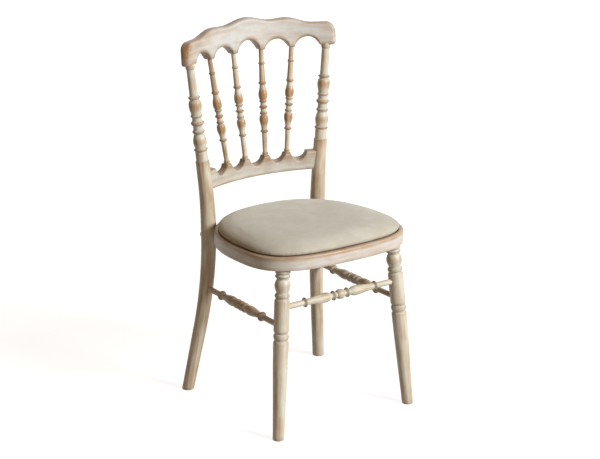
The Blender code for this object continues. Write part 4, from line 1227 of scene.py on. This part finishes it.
def make_chair():
    random.seed(SEED)
    wood = wood_material()
    steel = metal_material("bolt_steel", *STEEL)
    brass = metal_material("insert_brass", *BRASS)
    fabric = fabric_material()
    plywood = plywood_material()

    for side, hand in ((-1, "left"), (1, "right")):
        show_wood(make_rear_leg(side, "rear_leg_%s_fine" % hand, wood), "rear_leg_" + hand)
        show_wood(make_front_leg(side, "front_leg_%s_fine" % hand, wood), "front_leg_" + hand)
        stretcher = make_side_stretcher(side, "side_stretcher_%s_fine" % hand, wood)
        show_wood(stretcher, "side_stretcher_" + hand)
        show(make_bolt(side, "leg_bolt_%s_fine" % hand, steel), "frame", "bolt_steel", "leg_bolt_" + hand)
        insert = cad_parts["bolt_insert_" + hand].data
        insert.materials.clear()
        insert.materials.append(brass)
    show_wood(make_front_stretcher(wood), "front_stretcher")
    show_wood(make_crest(wood), "crest_rail")
    show_wood(make_lower_rail(wood), "lower_back_rail")
    for index in range(SPINDLES):
        show_wood(make_spindle(index, wood), "back_spindle_%d" % (index + 1))
    show_wood(make_ring(wood), "seat_ring")
    pad = make_pad(fabric)
    show(pad, "seat_pad", "pad_fabric", "pad_cover", "pad_foam")
    show(make_hem(fabric), "seat_pad", "pad_fabric", "pad_cover")
    show(make_board(plywood), "seat_pad", "pad_plywood", "pad_board")
    show(make_staples(steel), "seat_pad", "bolt_steel")


def area_light(name, place, power, size, colour, gloss):
    light = bpy.data.lights.new(name, "AREA")
    light.color = colour
    light.shape = "DISK"
    light.size = size
    light.energy = power
    made = add_object(name, light)
    made.location = place
    made.rotation_euler = (Vector(LIGHT_AIM) - Vector(place)).to_track_quat("-Z", "Y").to_euler()
    made.visible_glossy = gloss


def seen_directly(tree):
    """1 for rays from the camera, also reflected or passed on, which see the white studio."""
    paths = tree.nodes.new("ShaderNodeLightPath")
    seen = calc(tree, "ADD", paths.outputs["Is Camera Ray"], paths.outputs["Is Glossy Ray"])
    return calc(tree, "ADD", seen, paths.outputs["Is Transmission Ray"], True)


def make_studio():
    scene = bpy.context.scene
    scene.view_settings.view_transform = "Standard"
    world = bpy.data.worlds.new("studio")
    scene.world = world
    world.use_nodes = True
    tree = world.node_tree
    walls = mix(tree, seen_directly(tree), STUDIO_LIGHT, WHITE)
    tree.links.new(walls, tree.nodes["Background"].inputs["Color"])

    points = [(x * FLOOR_HALF, y * FLOOR_HALF, 0) for x, y in ((-1, -1), (1, -1), (1, 1), (-1, 1))]
    material, tree, shader = new_material("studio_floor")
    plug(tree, shader, {"Base Color": FLOOR_COLOUR, "Roughness": 0.9, "Specular IOR Level": 0.0})
    strength = calc(tree, "MULTIPLY", seen_directly(tree), FLOOR_GLOW)
    glow = node(tree, "Emission", {"Color": (*WHITE, 1), "Strength": strength})
    both = node(tree, "AddShader", {0: shader.outputs[0], 1: glow})
    tree.links.new(both, tree.nodes["Material Output"].inputs["Surface"])
    mesh = bpy.data.meshes.new("floor")
    mesh.from_pydata(points, [], [(0, 1, 2, 3)])
    mesh.materials.append(material)
    floor = add_object("floor", mesh)

    for light in LIGHTS:
        area_light(*light)


def make_camera():
    """Stand where the photograph was taken."""
    level = cos(CAMERA_HEIGHT)
    back = Vector((sin(CAMERA_AZIMUTH) * level, -cos(CAMERA_AZIMUTH) * level, sin(CAMERA_HEIGHT)))
    camera = bpy.data.cameras.new("camera")
    camera.sensor_fit = "HORIZONTAL"
    camera.sensor_width = CAMERA_SENSOR
    camera.lens = CAMERA_LENS
    made = add_object("camera", camera)
    made.location = Vector(CAMERA_TARGET) + back * CAMERA_DISTANCE
    made.rotation_euler = (-back).to_track_quat("-Z", "Y").to_euler()
    bpy.context.scene.camera = made


make_camera()
make_studio()
make_chair()
